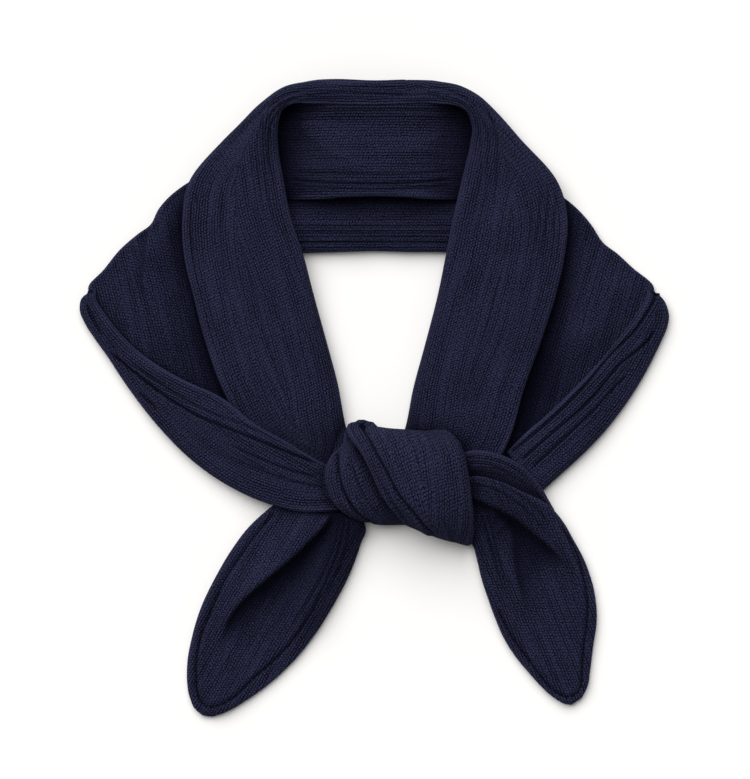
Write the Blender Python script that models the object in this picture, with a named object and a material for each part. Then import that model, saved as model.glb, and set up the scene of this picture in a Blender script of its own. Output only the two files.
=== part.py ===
"""Knitted triangle scarf, tied in front and laid flat.

The tables are in millimetres and the scene is in metres. +Z is up, +Y runs from the knot to the
back of the neck, and +X is to the right seen from above. The origin is on the surface that the
scarf lies on, under the middle of its outline.

Each stretch of cloth that shows is a wall through sections. A section is a row of its table: the
cloth's two edges in plan (a and b), the height of its top beside each edge and of its underside
there, and the height of its crown between them. Each edge is rounded from top to underside.
"""

import bmesh
import bpy
import numpy as np
from mathutils import Vector
from mathutils.bvhtree import BVHTree

MM = 0.001

# Driving sizes, in millimetres
CLOTH = 2.6  # thickness of the knitted cloth
SEAM = 0.3  # gap between two stretches that meet
LAID_GAP = 0.7  # gap under a stretch that lies on another
CORE_GAP = 0.6  # gap over the hidden layers
CORE_LOW = 1.5  # least thickness of the hidden layers
CORE_FEEL = 3.0  # how far round a point the cloth over the hidden layers is felt for
CORE_COLUMNS = 11  # points across the hidden layers
FAR_UP = 200.0

NAVY = (0.0137, 0.0144, 0.0335)
ROLL_ANGLES = (-90, -40, 5, 45, 90)  # where the rounding of an edge has points

# Section columns: a_x, a_y, b_x, b_y, a_top, a_under, crown, b_top, b_under
A, B = slice(0, 2), slice(2, 4)
A_TOP, A_UNDER, CROWN, B_TOP, B_UNDER = range(4, 9)

# The folded front bands, from the knot to the corner of the neck: a at the neck, b outside
FRONT_BAND_LEFT = (
    (-14.0, -33.0, -40.0, -33.0, 6.0, 0.8, 6.0, 6.0, 3.4),
    (-13.0, -23.0, -56.0, -24.0, 7.5, 0.4, 8.5, 7.5, 4.0),
    (-16.0, -13.5, -69.5, -16.0, 10.0, 0.0, 11.0, 8.0, 4.5),
    (-20.0, 8.0, -81.5, 4.0, 13.0, 0.0, 14.0, 12.0, 7.5),
    (-25.5, 30.5, -91.0, 29.5, 13.5, 0.0, 15.5, 13.0, 7.5),
    (-32.5, 56.0, -98.0, 56.0, 14.0, 0.0, 15.5, 13.5, 8.0),
    (-38.5, 79.0, -103.0, 78.0, 14.5, 8.0, 16.0, 13.5, 8.0),
    (-45.0, 98.5, -104.0, 97.5, 15.5, 10.0, 16.5, 13.5, 8.0),
    (-49.0, 119.0, -99.5, 118.5, 16.0, 10.0, 16.5, 13.0, 7.0),
    (-52.0, 138.5, -83.0, 141.0, 17.0, 9.0, 17.5, 12.0, 0.0),
    (-52.0, 148.0, -73.0, 149.5, 18.0, 9.5, 18.0, 13.0, 0.0),
    (-49.5, 156.5, -62.0, 159.5, 18.5, 10.5, 18.5, 15.0, 0.0),
)
FRONT_BAND_RIGHT = (
    (17.0, -33.0, 66.0, -36.0, 7.0, 0.8, 7.5, 8.0, 4.0),
    (14.5, -23.0, 69.5, -30.0, 8.0, 0.4, 8.5, 11.5, 9.0),
    (17.0, -15.0, 73.5, -21.0, 10.0, 0.0, 11.5, 12.5, 9.0),
    (21.0, 5.0, 81.0, 4.5, 13.0, 0.0, 14.0, 12.5, 7.5),
    (27.0, 29.5, 91.0, 32.5, 13.5, 0.0, 15.5, 13.0, 7.5),
    (33.0, 56.0, 98.5, 56.0, 14.0, 0.0, 15.5, 13.5, 8.0),
    (39.0, 79.0, 103.5, 78.5, 14.5, 8.0, 16.0, 13.5, 8.0),
    (42.5, 97.5, 105.0, 97.5, 15.5, 10.0, 16.5, 13.5, 8.0),
    (47.5, 119.0, 97.5, 118.5, 16.0, 10.0, 16.5, 13.0, 7.0),
    (52.0, 138.5, 79.0, 142.0, 17.0, 9.0, 17.5, 12.0, 0.0),
    (53.0, 147.5, 66.5, 156.0, 18.0, 9.5, 18.0, 13.0, 0.0),
    (50.0, 155.5, 56.5, 165.0, 18.5, 12.0, 18.5, 16.5, 0.0),
)
# The fold along the top of the back, left to right: a at the neck, b outside
NECK_ROLL = (
    (-49.5, 156.5, -62.0, 159.5, 18.5, 10.5, 18.5, 15.0, 0.0),
    (-43.5, 160.0, -50.0, 169.0, 18.3, 16.0, 19.5, 17.0, 0.0),
    (-33.5, 160.0, -36.0, 171.7, 17.8, 16.8, 20.0, 17.5, 0.0),
    (0.0, 159.5, 0.0, 171.8, 17.8, 16.8, 20.0, 17.5, 0.0),
    (34.5, 160.0, 35.0, 171.8, 17.8, 16.8, 20.0, 17.5, 0.0),
    (44.0, 159.0, 47.0, 169.5, 18.3, 16.0, 19.5, 17.0, 0.0),
    (50.0, 155.5, 56.5, 165.0, 18.5, 12.0, 18.5, 16.5, 0.0),
)
# The inner face of the back, left to right: a along the top, b its lower fold
BACK_NECK_INNER = (
    (-54.0, 156.0, -48.0, 109.0, 7.5, 4.9, 7.0, 8.5, 5.5),
    (-49.0, 158.5, -44.5, 108.5, 9.0, 6.4, 8.5, 9.2, 6.0),
    (-40.5, 161.5, -38.5, 108.5, 14.0, 11.4, 12.5, 11.5, 7.5),
    (-21.0, 161.5, -21.0, 109.0, 16.2, 13.6, 15.5, 14.0, 9.5),
    (0.0, 161.0, 0.0, 110.0, 16.2, 13.6, 16.0, 14.5, 10.0),
    (22.5, 161.5, 22.5, 109.0, 16.2, 13.6, 15.5, 14.0, 9.5),
    (40.5, 161.5, 39.5, 108.5, 14.0, 11.4, 12.5, 11.5, 7.5),
    (49.5, 157.5, 45.0, 108.5, 9.0, 6.4, 8.5, 9.2, 6.0),
    (54.5, 154.0, 49.0, 109.0, 7.5, 4.9, 7.0, 8.5, 5.5),
)
# The lower layer of the back, left to right: a hidden under the inner face, b the hem
BACK_LAYER = (
    (-49.5, 114.0, -47.0, 79.5, 4.6, 2.0, 5.6, 6.5, 0.0),
    (-37.5, 114.0, -38.5, 79.5, 4.2, 1.6, 6.5, 7.0, 0.0),
    (-18.5, 114.0, -18.5, 80.0, 3.5, 0.9, 7.0, 7.5, 0.0),
    (0.0, 114.0, 0.0, 80.5, 3.5, 0.9, 7.0, 7.5, 0.0),
    (19.5, 114.0, 19.5, 80.0, 3.5, 0.9, 7.0, 7.5, 0.0),
    (39.5, 114.0, 39.5, 80.0, 4.2, 1.6, 6.5, 7.0, 0.0),
    (51.0, 114.0, 49.0, 79.5, 4.6, 2.0, 5.6, 6.5, 0.0),
)
# The wings, from the neck round the outer corner to the knot: a outside, b under the band
WING_LEFT = (
    (-95.0, 121.0, -89.0, 123.0, 3.0, 0.4, 3.0, 3.0, 0.4),
    (-101.0, 117.8, -93.0, 118.5, 5.0, 0.0, 5.0, 5.0, 2.4),
    (-110.0, 110.5, -95.0, 110.0, 6.0, 0.0, 8.0, 6.6, 4.0),
    (-117.0, 103.0, -96.5, 101.5, 6.5, 0.0, 9.0, 6.8, 4.2),
    (-121.5, 95.0, -96.5, 94.5, 7.0, 0.0, 9.5, 6.8, 4.2),
    (-128.5, 90.5, -95.5, 87.0, 6.0, 0.0, 9.0, 6.8, 4.2),
    (-138.5, 81.0, -94.5, 78.0, 6.5, 0.0, 8.5, 6.8, 4.2),
    (-147.0, 70.5, -93.0, 69.5, 6.5, 0.0, 8.0, 6.5, 3.9),
    (-154.0, 61.5, -91.0, 61.0, 5.5, 0.0, 8.0, 6.0, 3.4),
    (-150.5, 51.0, -88.0, 51.5, 4.2, 1.6, 7.5, 5.5, 2.9),
    (-141.5, 38.0, -84.0, 39.0, 4.2, 1.6, 7.0, 5.0, 2.4),
    (-124.5, 20.0, -78.0, 24.0, 4.4, 1.8, 6.0, 5.0, 2.4),
    (-101.0, 5.5, -71.5, 8.0, 4.2, 1.6, 4.5, 4.0, 1.4),
    (-75.0, -10.0, -64.0, -7.0, 3.6, 1.0, 3.6, 3.6, 1.0),
)
WING_RIGHT = (
    (98.5, 113.0, 92.0, 117.0, 3.0, 0.4, 3.0, 3.0, 0.4),
    (104.0, 109.5, 96.0, 111.5, 5.0, 0.0, 5.0, 5.0, 2.4),
    (112.0, 103.5, 97.5, 105.5, 6.0, 0.0, 7.5, 6.6, 4.0),
    (118.0, 96.0, 97.5, 96.5, 6.5, 0.0, 8.5, 6.8, 4.2),
    (124.0, 87.0, 97.0, 88.0, 6.5, 0.0, 8.5, 6.8, 4.2),
    (131.5, 78.0, 95.0, 78.0, 6.5, 0.0, 8.5, 6.8, 4.2),
    (140.0, 71.0, 94.0, 71.5, 6.5, 0.0, 8.5, 6.5, 3.9),
    (150.0, 62.5, 92.0, 62.0, 5.5, 0.0, 8.5, 6.0, 3.4),
    (146.5, 49.0, 88.5, 47.5, 4.2, 1.6, 8.0, 5.0, 2.4),
    (138.0, 35.5, 85.5, 35.5, 4.2, 1.6, 7.5, 4.5, 1.9),
    (119.5, 13.5, 81.0, 20.5, 4.4, 1.8, 6.5, 5.0, 2.4),
    (95.0, -11.0, 76.5, 4.0, 4.2, 1.6, 4.5, 4.0, 1.4),
    (75.5, -28.5, 72.0, -11.0, 3.6, 1.0, 3.6, 3.6, 1.0),
)
# The ribbed hem bands, from the outer corner to the knot: a inside, b the scarf's edge
HEM_BAND_LEFT = (
    (-154.5, 62.5, -156.5, 60.5, 6.5, 4.2, 6.5, 4.5, 1.0),
    (-152.5, 58.0, -159.5, 55.0, 7.2, 4.8, 7.2, 6.0, 0.0),
    (-150.5, 54.0, -160.0, 49.0, 7.2, 4.8, 7.5, 6.0, 0.0),
    (-147.5, 49.0, -156.5, 41.5, 7.2, 4.8, 7.5, 6.0, 0.0),
    (-142.5, 42.0, -152.0, 34.5, 7.2, 4.8, 7.5, 6.0, 0.0),
    (-135.0, 33.0, -144.5, 24.0, 7.5, 4.8, 8.0, 6.5, 0.0),
    (-123.5, 23.0, -135.5, 9.0, 8.5, 4.8, 9.0, 7.0, 0.0),
    (-105.0, 11.5, -120.0, -11.5, 10.5, 4.8, 10.5, 7.5, 0.0),
    (-82.5, 1.0, -101.0, -30.5, 14.0, 7.5, 13.0, 8.0, 0.0),
    (-64.5, -13.0, -82.5, -44.0, 15.0, 10.5, 14.0, 9.0, 0.0),
    (-45.5, -24.0, -61.0, -56.0, 14.5, 10.0, 14.5, 12.0, 5.5),
    (-28.5, -34.0, -38.0, -61.0, 12.5, 8.5, 13.0, 13.0, 8.0),
    (-16.0, -39.5, -19.5, -60.5, 9.5, 6.9, 9.5, 10.0, 7.4),
)
HEM_BAND_RIGHT = (
    (149.5, 63.5, 153.5, 61.5, 6.5, 4.2, 6.5, 4.5, 1.0),
    (149.0, 59.0, 158.0, 54.5, 7.2, 4.8, 7.2, 6.0, 0.0),
    (146.5, 53.5, 160.0, 47.5, 7.2, 4.8, 7.5, 6.0, 0.0),
    (142.5, 47.0, 159.5, 40.0, 7.2, 4.8, 7.5, 6.0, 0.0),
    (137.5, 39.5, 155.5, 30.5, 7.2, 4.8, 7.5, 6.0, 0.0),
    (129.0, 28.5, 147.5, 16.0, 7.5, 4.8, 8.0, 6.5, 0.0),
    (118.5, 16.5, 137.0, 1.0, 7.5, 4.8, 8.5, 6.5, 0.0),
    (106.5, 4.0, 124.0, -16.0, 7.5, 4.8, 9.0, 7.0, 0.0),
    (94.0, -8.0, 110.5, -29.0, 7.5, 4.8, 9.0, 7.5, 0.0),
    (82.5, -18.0, 99.0, -40.5, 7.2, 4.6, 8.5, 7.5, 0.0),
    (72.0, -28.5, 89.0, -50.0, 6.8, 4.2, 7.8, 7.5, 0.0),
)
# The two ends, from under the knot to the tip: a the left edge, b the right edge
TAIL_LEFT = (
    (-45.5, -50.5, -10.0, -58.5, 5.0, 2.4, 6.0, 6.5, 3.9),
    (-55.0, -57.5, -4.5, -69.0, 5.5, 0.0, 7.0, 8.5, 2.0),
    (-66.5, -66.5, -7.0, -78.0, 5.0, 0.0, 6.0, 7.5, 0.0),
    (-77.0, -81.0, -13.5, -95.5, 5.0, 0.0, 5.5, 6.5, 0.0),
    (-87.0, -97.0, -22.5, -112.5, 5.0, 0.0, 5.5, 6.0, 0.0),
    (-94.5, -114.0, -33.0, -129.0, 5.0, 0.0, 5.0, 5.5, 0.0),
    (-99.5, -129.0, -44.5, -143.0, 5.0, 0.0, 5.0, 5.0, 0.0),
    (-101.5, -143.0, -57.5, -155.0, 5.0, 0.0, 4.5, 5.0, 0.0),
    (-101.5, -155.0, -69.5, -163.0, 5.0, 0.0, 4.5, 5.0, 0.0),
    (-100.0, -162.5, -78.5, -168.0, 5.0, 0.0, 4.5, 5.0, 0.0),
    (-96.5, -168.5, -84.5, -171.5, 4.2, 0.3, 4.2, 4.2, 0.3),
    (-93.0, -171.5, -88.0, -172.5, 3.2, 0.9, 3.2, 3.2, 0.9),
)
TAIL_RIGHT = (
    (49.0, -73.5, 47.5, -42.5, 8.0, 4.0, 8.0, 13.0, 10.4),
    (53.5, -79.5, 56.5, -41.5, 6.0, 0.0, 6.0, 14.0, 11.4),
    (55.5, -85.5, 68.5, -44.5, 6.0, 0.0, 5.0, 15.0, 12.4),
    (59.0, -97.0, 80.5, -50.0, 5.5, 0.0, 4.5, 14.5, 11.5),
    (62.0, -108.5, 92.0, -55.5, 5.5, 0.0, 4.5, 12.5, 8.5),
    (66.0, -119.5, 101.0, -64.0, 5.0, 0.0, 4.5, 9.5, 0.5),
    (70.5, -128.5, 108.5, -76.5, 5.0, 0.0, 4.5, 7.0, 0.0),
    (77.0, -138.0, 115.5, -90.5, 5.0, 0.0, 4.5, 6.0, 0.0),
    (85.0, -146.5, 119.5, -106.0, 5.0, 0.0, 4.5, 5.5, 0.0),
    (92.0, -154.0, 121.0, -121.0, 5.0, 0.0, 4.5, 5.0, 0.0),
    (97.0, -159.0, 119.0, -135.0, 5.0, 0.0, 4.5, 5.0, 0.0),
    (100.5, -163.0, 117.5, -147.0, 5.0, 0.0, 4.5, 5.0, 0.0),
    (104.0, -165.0, 116.0, -156.0, 4.6, 0.2, 4.4, 4.6, 0.2),
    (107.0, -166.0, 113.0, -162.0, 3.4, 0.9, 3.4, 3.4, 0.9),
)
# The fold of the right end beside the knot: a its outer edge, b under the right end
TAIL_RIGHT_LOBE = (
    (47.0, -29.0, 47.5, -43.0, 13.5, 11.0, 14.0, 11.0, 8.4),
    (54.0, -27.5, 55.5, -44.0, 16.0, 10.5, 16.0, 11.0, 8.4),
    (62.0, -28.0, 64.0, -45.5, 16.5, 11.5, 16.0, 11.0, 8.4),
    (70.5, -30.5, 72.0, -48.0, 16.0, 10.5, 14.5, 10.0, 7.4),
    (79.0, -35.0, 79.0, -51.0, 15.0, 9.5, 13.0, 9.0, 6.4),
    (85.5, -41.0, 85.0, -53.5, 13.5, 9.0, 11.5, 8.0, 5.4),
    (91.0, -48.0, 89.5, -56.0, 11.5, 7.0, 9.5, 7.5, 4.9),
    (94.5, -54.0, 92.5, -58.5, 8.0, 1.0, 7.5, 6.5, 3.9),
    (98.0, -60.0, 95.5, -62.0, 4.5, 0.6, 4.4, 4.5, 1.6),
)
# The knot, from its top edge down to its lower edge: a on the left, b on the right
KNOT_TURN = (
    (-14.0, -31.0, -6.0, -29.0, 10.0, 7.4, 9.5, 10.0, 7.4),
    (-18.5, -29.0, -5.0, -27.0, 14.0, 11.0, 14.0, 13.5, 10.9),
    (-24.5, -32.5, -3.0, -31.5, 18.0, 11.0, 20.5, 17.5, 14.5),
    (-26.5, -39.5, 1.0, -38.5, 20.5, 9.5, 24.0, 20.0, 17.0),
    (-25.5, -48.0, 6.0, -49.0, 20.5, 9.0, 24.5, 20.5, 17.5),
    (-22.0, -55.5, 11.5, -58.0, 19.0, 9.0, 22.5, 18.5, 15.5),
    (-14.0, -61.5, 16.0, -64.0, 14.5, 8.0, 17.0, 13.5, 10.5),
    (-4.5, -65.5, 20.0, -67.0, 9.0, 6.0, 9.5, 7.5, 4.5),
    (4.0, -66.5, 21.0, -67.5, 3.5, 0.9, 3.5, 3.5, 0.9),
)
KNOT_WRAP = (
    (-8.5, -18.0, 37.0, -23.5, 6.0, 3.4, 10.5, 13.0, 10.4),
    (-12.5, -15.0, 39.5, -21.5, 10.5, 7.0, 12.5, 14.5, 11.5),
    (-15.0, -16.5, 45.5, -23.5, 18.0, 12.5, 20.5, 19.0, 14.5),
    (-13.0, -20.5, 47.5, -26.5, 24.5, 17.5, 28.0, 24.5, 16.0),
    (-8.5, -26.5, 49.5, -32.5, 29.0, 20.5, 33.0, 29.0, 16.5),
    (-2.0, -39.0, 52.0, -47.5, 31.5, 23.5, 36.5, 31.0, 17.0),
    (4.0, -51.5, 53.5, -59.5, 31.0, 23.0, 35.5, 29.5, 16.0),
    (11.0, -60.0, 54.0, -68.0, 26.5, 19.5, 29.5, 24.0, 14.0),
    (17.5, -66.5, 53.5, -74.5, 18.5, 14.0, 20.0, 17.0, 11.5),
    (24.0, -69.0, 52.0, -78.0, 10.0, 7.0, 10.5, 10.5, 7.0),
    (25.0, -68.5, 49.0, -76.5, 3.5, 0.9, 3.5, 3.5, 0.9),
)
# Hidden layers, in plan only: a_x, a_y, b_x, b_y
HIDDEN_LEFT = (
    (-34.0, -12.0, -54.0, -12.0),
    (-32.0, 8.0, -64.0, 10.0),
    (-38.0, 30.0, -90.0, 30.0),
    (-45.0, 56.0, -110.0, 54.0),
    (-55.0, 78.0, -117.0, 76.0),
    (-57.0, 98.0, -109.0, 97.0),
    (-59.0, 108.0, -99.0, 107.0),
    (-61.0, 118.0, -90.0, 116.0),
    (-63.0, 138.0, -73.0, 138.5),
    (-61.0, 146.0, -65.5, 147.0),
)
HIDDEN_RIGHT = tuple((-a_x, a_y, -b_x, b_y) for a_x, a_y, b_x, b_y in HIDDEN_LEFT)
HIDDEN_BACK = (
    (-44.0, 152.0, -41.0, 118.0),
    (-36.0, 161.0, -33.0, 118.0),
    (-12.0, 162.0, -12.0, 118.0),
    (12.0, 162.0, 12.0, 118.0),
    (36.0, 161.0, 34.0, 118.0),
    (44.5, 151.0, 41.5, 118.0),
)
KNOT_CORE = (
    (-6.0, -37.0, 38.0, -40.0),
    (-6.0, -44.0, 40.0, -48.0),
    (0.0, -53.0, 42.0, -58.0),
    (10.0, -61.0, 42.0, -66.0),
)

# The lines in plan that folds, ridges and hollows follow, running away from the knot or the neck
PLEAT_LEFT = ((-122.0, 96.0), (-124.5, 78.5), (-123.0, 60.5))
TAIL_LEFT_FOLD = (
    (-83.0, -131.0),
    (-78.5, -120.0),
    (-71.5, -110.5),
    (-56.5, -97.0),
    (-41.5, -84.5),
    (-34.5, -77.5),
    (-28.0, -71.0),
    (-21.0, -58.0),
)
TAIL_LEFT_HOLLOW = ((-76.0, -133.0), (-66.0, -115.0), (-52.0, -101.5), (-37.0, -89.0), (-22.0, -72.0))
TAIL_LEFT_RIDGE = ((-12.0, -68.0), (-17.5, -82.0), (-24.0, -94.0), (-33.0, -107.0), (-46.0, -125.0))
TAIL_RIGHT_FOLD = (
    (47.0, -52.5),
    (60.5, -57.5),
    (68.5, -61.0),
    (76.5, -65.5),
    (85.0, -72.5),
    (93.0, -79.0),
    (101.0, -87.5),
    (106.0, -96.0),
)
TAIL_RIGHT_HOLLOW = ((66.0, -63.0), (76.0, -72.0), (84.0, -84.0), (89.0, -98.0), (92.0, -113.0))
TAIL_RIGHT_RIDGE = ((55.0, -61.5), (60.0, -72.0), (64.5, -82.0), (69.0, -95.0), (73.0, -107.0))
# Folds: line, height, width of the steep side, width of the gentle side, fade in, fade out.
# The cloth is high on the left of the line.
FOLDS = {
    "wing_left": ((PLEAT_LEFT, 3.5, 3.0, 14.0, 0.0, 22.0),),
    "tail_left": ((TAIL_LEFT_FOLD, 6.0, 3.5, 22.0, 40.0, 20.0),),
    "tail_right": ((TAIL_RIGHT_FOLD, 4.0, 3.0, 12.0, 26.0, 26.0),),
}
# Ridges, or hollows below 0: line, height, width, fade in, fade out
RIDGES = {
    "tail_left": (
        (TAIL_LEFT_HOLLOW, -2.0, 6.5, 30.0, 14.0),
        (TAIL_LEFT_RIDGE, 4.0, 7.0, 14.0, 30.0),
    ),
    "tail_right": (
        (TAIL_RIGHT_HOLLOW, -1.2, 6.5, 14.0, 24.0),
        (TAIL_RIGHT_RIDGE, 5.0, 6.0, 12.0, 28.0),
    ),
}


def distance_along(points, x, y):
    """Distance to a line, positive on its left, how far along it that lies, and its length."""
    best = np.full(x.shape, np.inf)
    side = np.zeros(x.shape)
    along = np.zeros(x.shape)
    start = 0.0
    for (x0, y0), (x1, y1) in zip(points, points[1:]):
        dx, dy = x1 - x0, y1 - y0
        length = np.hypot(dx, dy)
        t = np.clip(((x - x0) * dx + (y - y0) * dy) / length**2, 0.0, 1.0)
        off = np.hypot(x - x0 - t * dx, y - y0 - t * dy)
        left = (dx * (y - y0) - dy * (x - x0)) / length
        same = np.abs(off - best) < 1e-6
        near = np.where(same, np.abs(left) > np.abs(side), off < best)
        side = np.where(near, left, side)
        along = np.where(near, start + t * length, along)
        best = np.where(near, off, best)
        start += length
    return best * np.sign(side), along, start


def eased(value, width):
    return 1.0 if width <= 0 else 0.5 - 0.5 * np.cos(np.pi * np.clip(value / width, 0.0, 1.0))


def relief(name, x, y):
    """Height that the folds and ridges of a stretch add at points in plan."""
    height = np.zeros(x.shape)
    for points, rise, steep, gentle, fade_in, fade_out in FOLDS.get(name, ()):
        off, along, length = distance_along(points, x, y)
        shape = (0.5 + 0.5 * np.tanh(2.0 * off / steep)) * np.exp(-np.maximum(off, 0.0) / gentle)
        height += rise * shape * eased(along, fade_in) * eased(length - along, fade_out)
    for points, rise, width, fade_in, fade_out in RIDGES.get(name, ()):
        off, along, length = distance_along(points, x, y)
        fade = eased(along, fade_in) * eased(length - along, fade_out)
        height += rise * np.exp(-((off / width) ** 2)) * fade
    return height


def between(table, steps):
    """The table's sections, with `steps` - 1 more between each two on smooth curves."""
    rows = np.array(table, dtype=float)
    middle = (rows[:, A] + rows[:, B]) / 2
    reach = np.concatenate(([0.0], np.cumsum(np.hypot(*np.diff(middle, axis=0).T))))
    slope = np.gradient(rows, reach, axis=0)
    found = []
    for k in range(len(rows) - 1):
        gap = reach[k + 1] - reach[k]
        for t in np.arange(steps) / steps:
            found.append(
                rows[k] * (1 + 2 * t) * (1 - t) ** 2
                + slope[k] * gap * t * (1 - t) ** 2
                + rows[k + 1] * t * t * (3 - 2 * t)
                + slope[k + 1] * gap * t * t * (t - 1)
            )
    found = np.array([*found, rows[-1]])
    found[:, A_TOP:] = np.maximum(found[:, A_TOP:], 0.0)
    return found


def squared(surface, sections):
    """The upright sections of a surface, each turned square to the way the cloth runs there."""
    a, b = sections[:, A], sections[:, B]
    width = np.hypot(*(b - a).T)
    across = (b - a) / width[:, None]
    onward = np.column_stack((across[:, 1], -across[:, 0]))
    run = np.gradient((a + b) / 2, axis=0)
    if (run * onward).sum() < 0:
        onward = -onward
    forward = (run * onward).sum(axis=1)
    rise = np.gradient(sections[:, CROWN])
    slope = np.hypot(forward, rise)
    outward = np.column_stack((-(rise / slope)[:, None] * onward, forward / slope))
    middle_a = (sections[:, A_TOP] + sections[:, A_UNDER])[:, None] / 2
    middle_b = (sections[:, B_TOP] + sections[:, B_UNDER])[:, None] / 2
    from_a = ((surface[:, :, 0:2] - a[:, None]) * across[:, None]).sum(axis=2) / width[:, None]
    middle = middle_a + (middle_b - middle_a) * from_a
    found = surface.copy()
    found[:, :, 2] = middle
    found += outward[:, None] * (surface[:, :, 2] - middle)[:, :, None]
    found[:, :, 2] = np.maximum(found[:, :, 2], 0.0)
    return found


def height_below(trees, x, y):
    """Top of the pieces below a point in plan."""
    hits = [tree.ray_cast(Vector((x, y, FAR_UP)), Vector((0, 0, -1)))[0] for tree in trees]
    return max((hit.z for hit in hits if hit is not None), default=-FAR_UP)


def spread(lift, rounds):
    """A lift that reaches its full height where it has to, and tapers off around."""
    found = lift.copy()
    for _ in range(rounds):
        padded = np.pad(found, 1, mode="edge")
        mean = (padded[:-2, 1:-1] + padded[2:, 1:-1] + padded[1:-1, :-2] + padded[1:-1, 2:]) / 4
        found = np.maximum(lift, mean)
    return found


def edges_raised(sections, trees):
    """The sections, with the edges that lie on a stretch below raised clear of it."""
    width = np.hypot(*(sections[:, B] - sections[:, A]).T)
    for at, to, top, under in ((A, B, A_TOP, A_UNDER), (B, A, B_TOP, B_UNDER)):
        lift = np.zeros((len(sections), 1))
        for k, section in enumerate(sections):
            footprint = min(section[top] - section[under], 0.9 * width[k]) / width[k]
            for q in np.linspace(0, footprint, 4):
                below = height_below(trees, *(section[at] + (section[to] - section[at]) * q))
                lift[k] = max(lift[k], below + LAID_GAP - section[under])
        thick = np.minimum(sections[:, top] - sections[:, under], CLOTH)
        sections[:, under] += spread(lift, 3)[:, 0]
        sections[:, top] = np.maximum(sections[:, top], sections[:, under] + thick)
        sections[:, CROWN] = np.maximum(sections[:, CROWN], sections[:, top] - CLOTH)


def surfaces(name, sections, divisions):
    """The outside of a stretch and its plain inside, one row per section.

    The columns go round edge a, over the top and round edge b. The inside is one cloth thickness
    in, or less where an edge is thin, and stays in its section's upright plane.
    """
    a, b = sections[:, A], sections[:, B]
    width = np.hypot(*(b - a).T)
    outer, inner = [], []

    def column(from_a, height, inner_from_a, inner_height, lift):
        plan = a + (b - a) * (from_a / width)[:, None]
        rise = lift * relief(name, plan[:, 0], plan[:, 1])
        outer.append(np.column_stack((plan, height + rise)))
        plan = a + (b - a) * (inner_from_a / width)[:, None]
        inner.append(np.column_stack((plan, inner_height + rise)))

    edges = []
    for top, under in ((A_TOP, A_UNDER), (B_TOP, B_UNDER)):
        half = (sections[:, top] - sections[:, under]) / 2
        thick = np.minimum(np.minimum(CLOTH, 0.84 * half), 0.28 * width)
        edges.append((half, sections[:, under] + half, np.minimum(half, 0.45 * width), thick))

    def roll(half, middle, radius, thick, from_edge):
        angles = ROLL_ANGLES if from_edge is None else ROLL_ANGLES[::-1]
        for angle in np.radians(angles):
            away = radius * (1 - np.cos(angle))
            inner_away = radius - radius * (1 - thick / half) * np.cos(angle)
            if from_edge is not None:
                away, inner_away = from_edge - away, from_edge - inner_away
            height = middle + half * np.sin(angle)
            column(
                away, height, inner_away, middle + (half - thick) * np.sin(angle), max(0.0, np.sin(angle))
            )

    radius_a, thick_a = edges[0][2:]
    radius_b, thick_b = edges[1][2:]
    roll(*edges[0], None)
    across = width - radius_a - radius_b
    for q in np.linspace(0, 1, divisions + 1)[1:-1]:
        bump = sections[:, CROWN] - (sections[:, A_TOP] + sections[:, B_TOP]) / 2
        height = sections[:, A_TOP] + (sections[:, B_TOP] - sections[:, A_TOP]) * eased(q, 1.0)
        height = height + bump * np.sin(np.pi * q) ** 1.5
        thick = np.minimum(thick_a + 0.3 * across * q, thick_b + 0.3 * across * (1 - q))
        thick = np.minimum(np.minimum(thick, CLOTH), height)
        column(radius_a + across * q, height, radius_a + across * q, height - thick, 1.0)
    roll(*edges[1], width)
    return np.stack(outer, axis=1), np.stack(inner, axis=1)


def knit():
    """The one cloth of the scarf."""
    material = bpy.data.materials.new("navy_knit")
    material.use_nodes = True
    shader = material.node_tree.nodes["Principled BSDF"]
    shader.inputs["Base Color"].default_value = (*NAVY, 1.0)
    shader.inputs["Roughness"].default_value = 0.9
    shader.inputs["Metallic"].default_value = 0.0
    return material


def body(name, outer, inner):
    """A closed body between two surfaces with the same rows and columns."""
    rows, columns = outer.shape[:2]
    mesh = bmesh.new()
    sides = [
        [[mesh.verts.new(Vector(p) * MM) for p in row] for row in surface]
        for surface in (outer, inner)
    ]
    for side in sides:
        for i in range(rows - 1):
            for j in range(columns - 1):
                mesh.faces.new((side[i][j], side[i + 1][j], side[i + 1][j + 1], side[i][j + 1]))
    rim = [(i, 0) for i in range(rows)]
    rim += [(rows - 1, j) for j in range(1, columns)]
    rim += [(i, columns - 1) for i in range(rows - 2, -1, -1)]
    rim += [(0, j) for j in range(columns - 2, 0, -1)]
    for (i, j), (k, m) in zip(rim, rim[1:] + rim[:1]):
        mesh.faces.new((sides[0][i][j], sides[0][k][m], sides[1][k][m], sides[1][i][j]))
    bmesh.ops.recalc_face_normals(mesh, faces=mesh.faces)
    made = bpy.data.meshes.new(name)
    mesh.to_mesh(made)
    mesh.free()
    made.shade_smooth()
    made.set_sharp_from_angle(angle=np.radians(50))
    made.materials.append(knit())
    piece = bpy.data.objects.new(name, made)
    bpy.context.collection.objects.link(piece)
    return piece


def surface_of(piece):
    return BVHTree.FromPolygons(
        [v.co / MM for v in piece.data.vertices], [tuple(p.vertices) for p in piece.data.polygons]
    )


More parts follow.
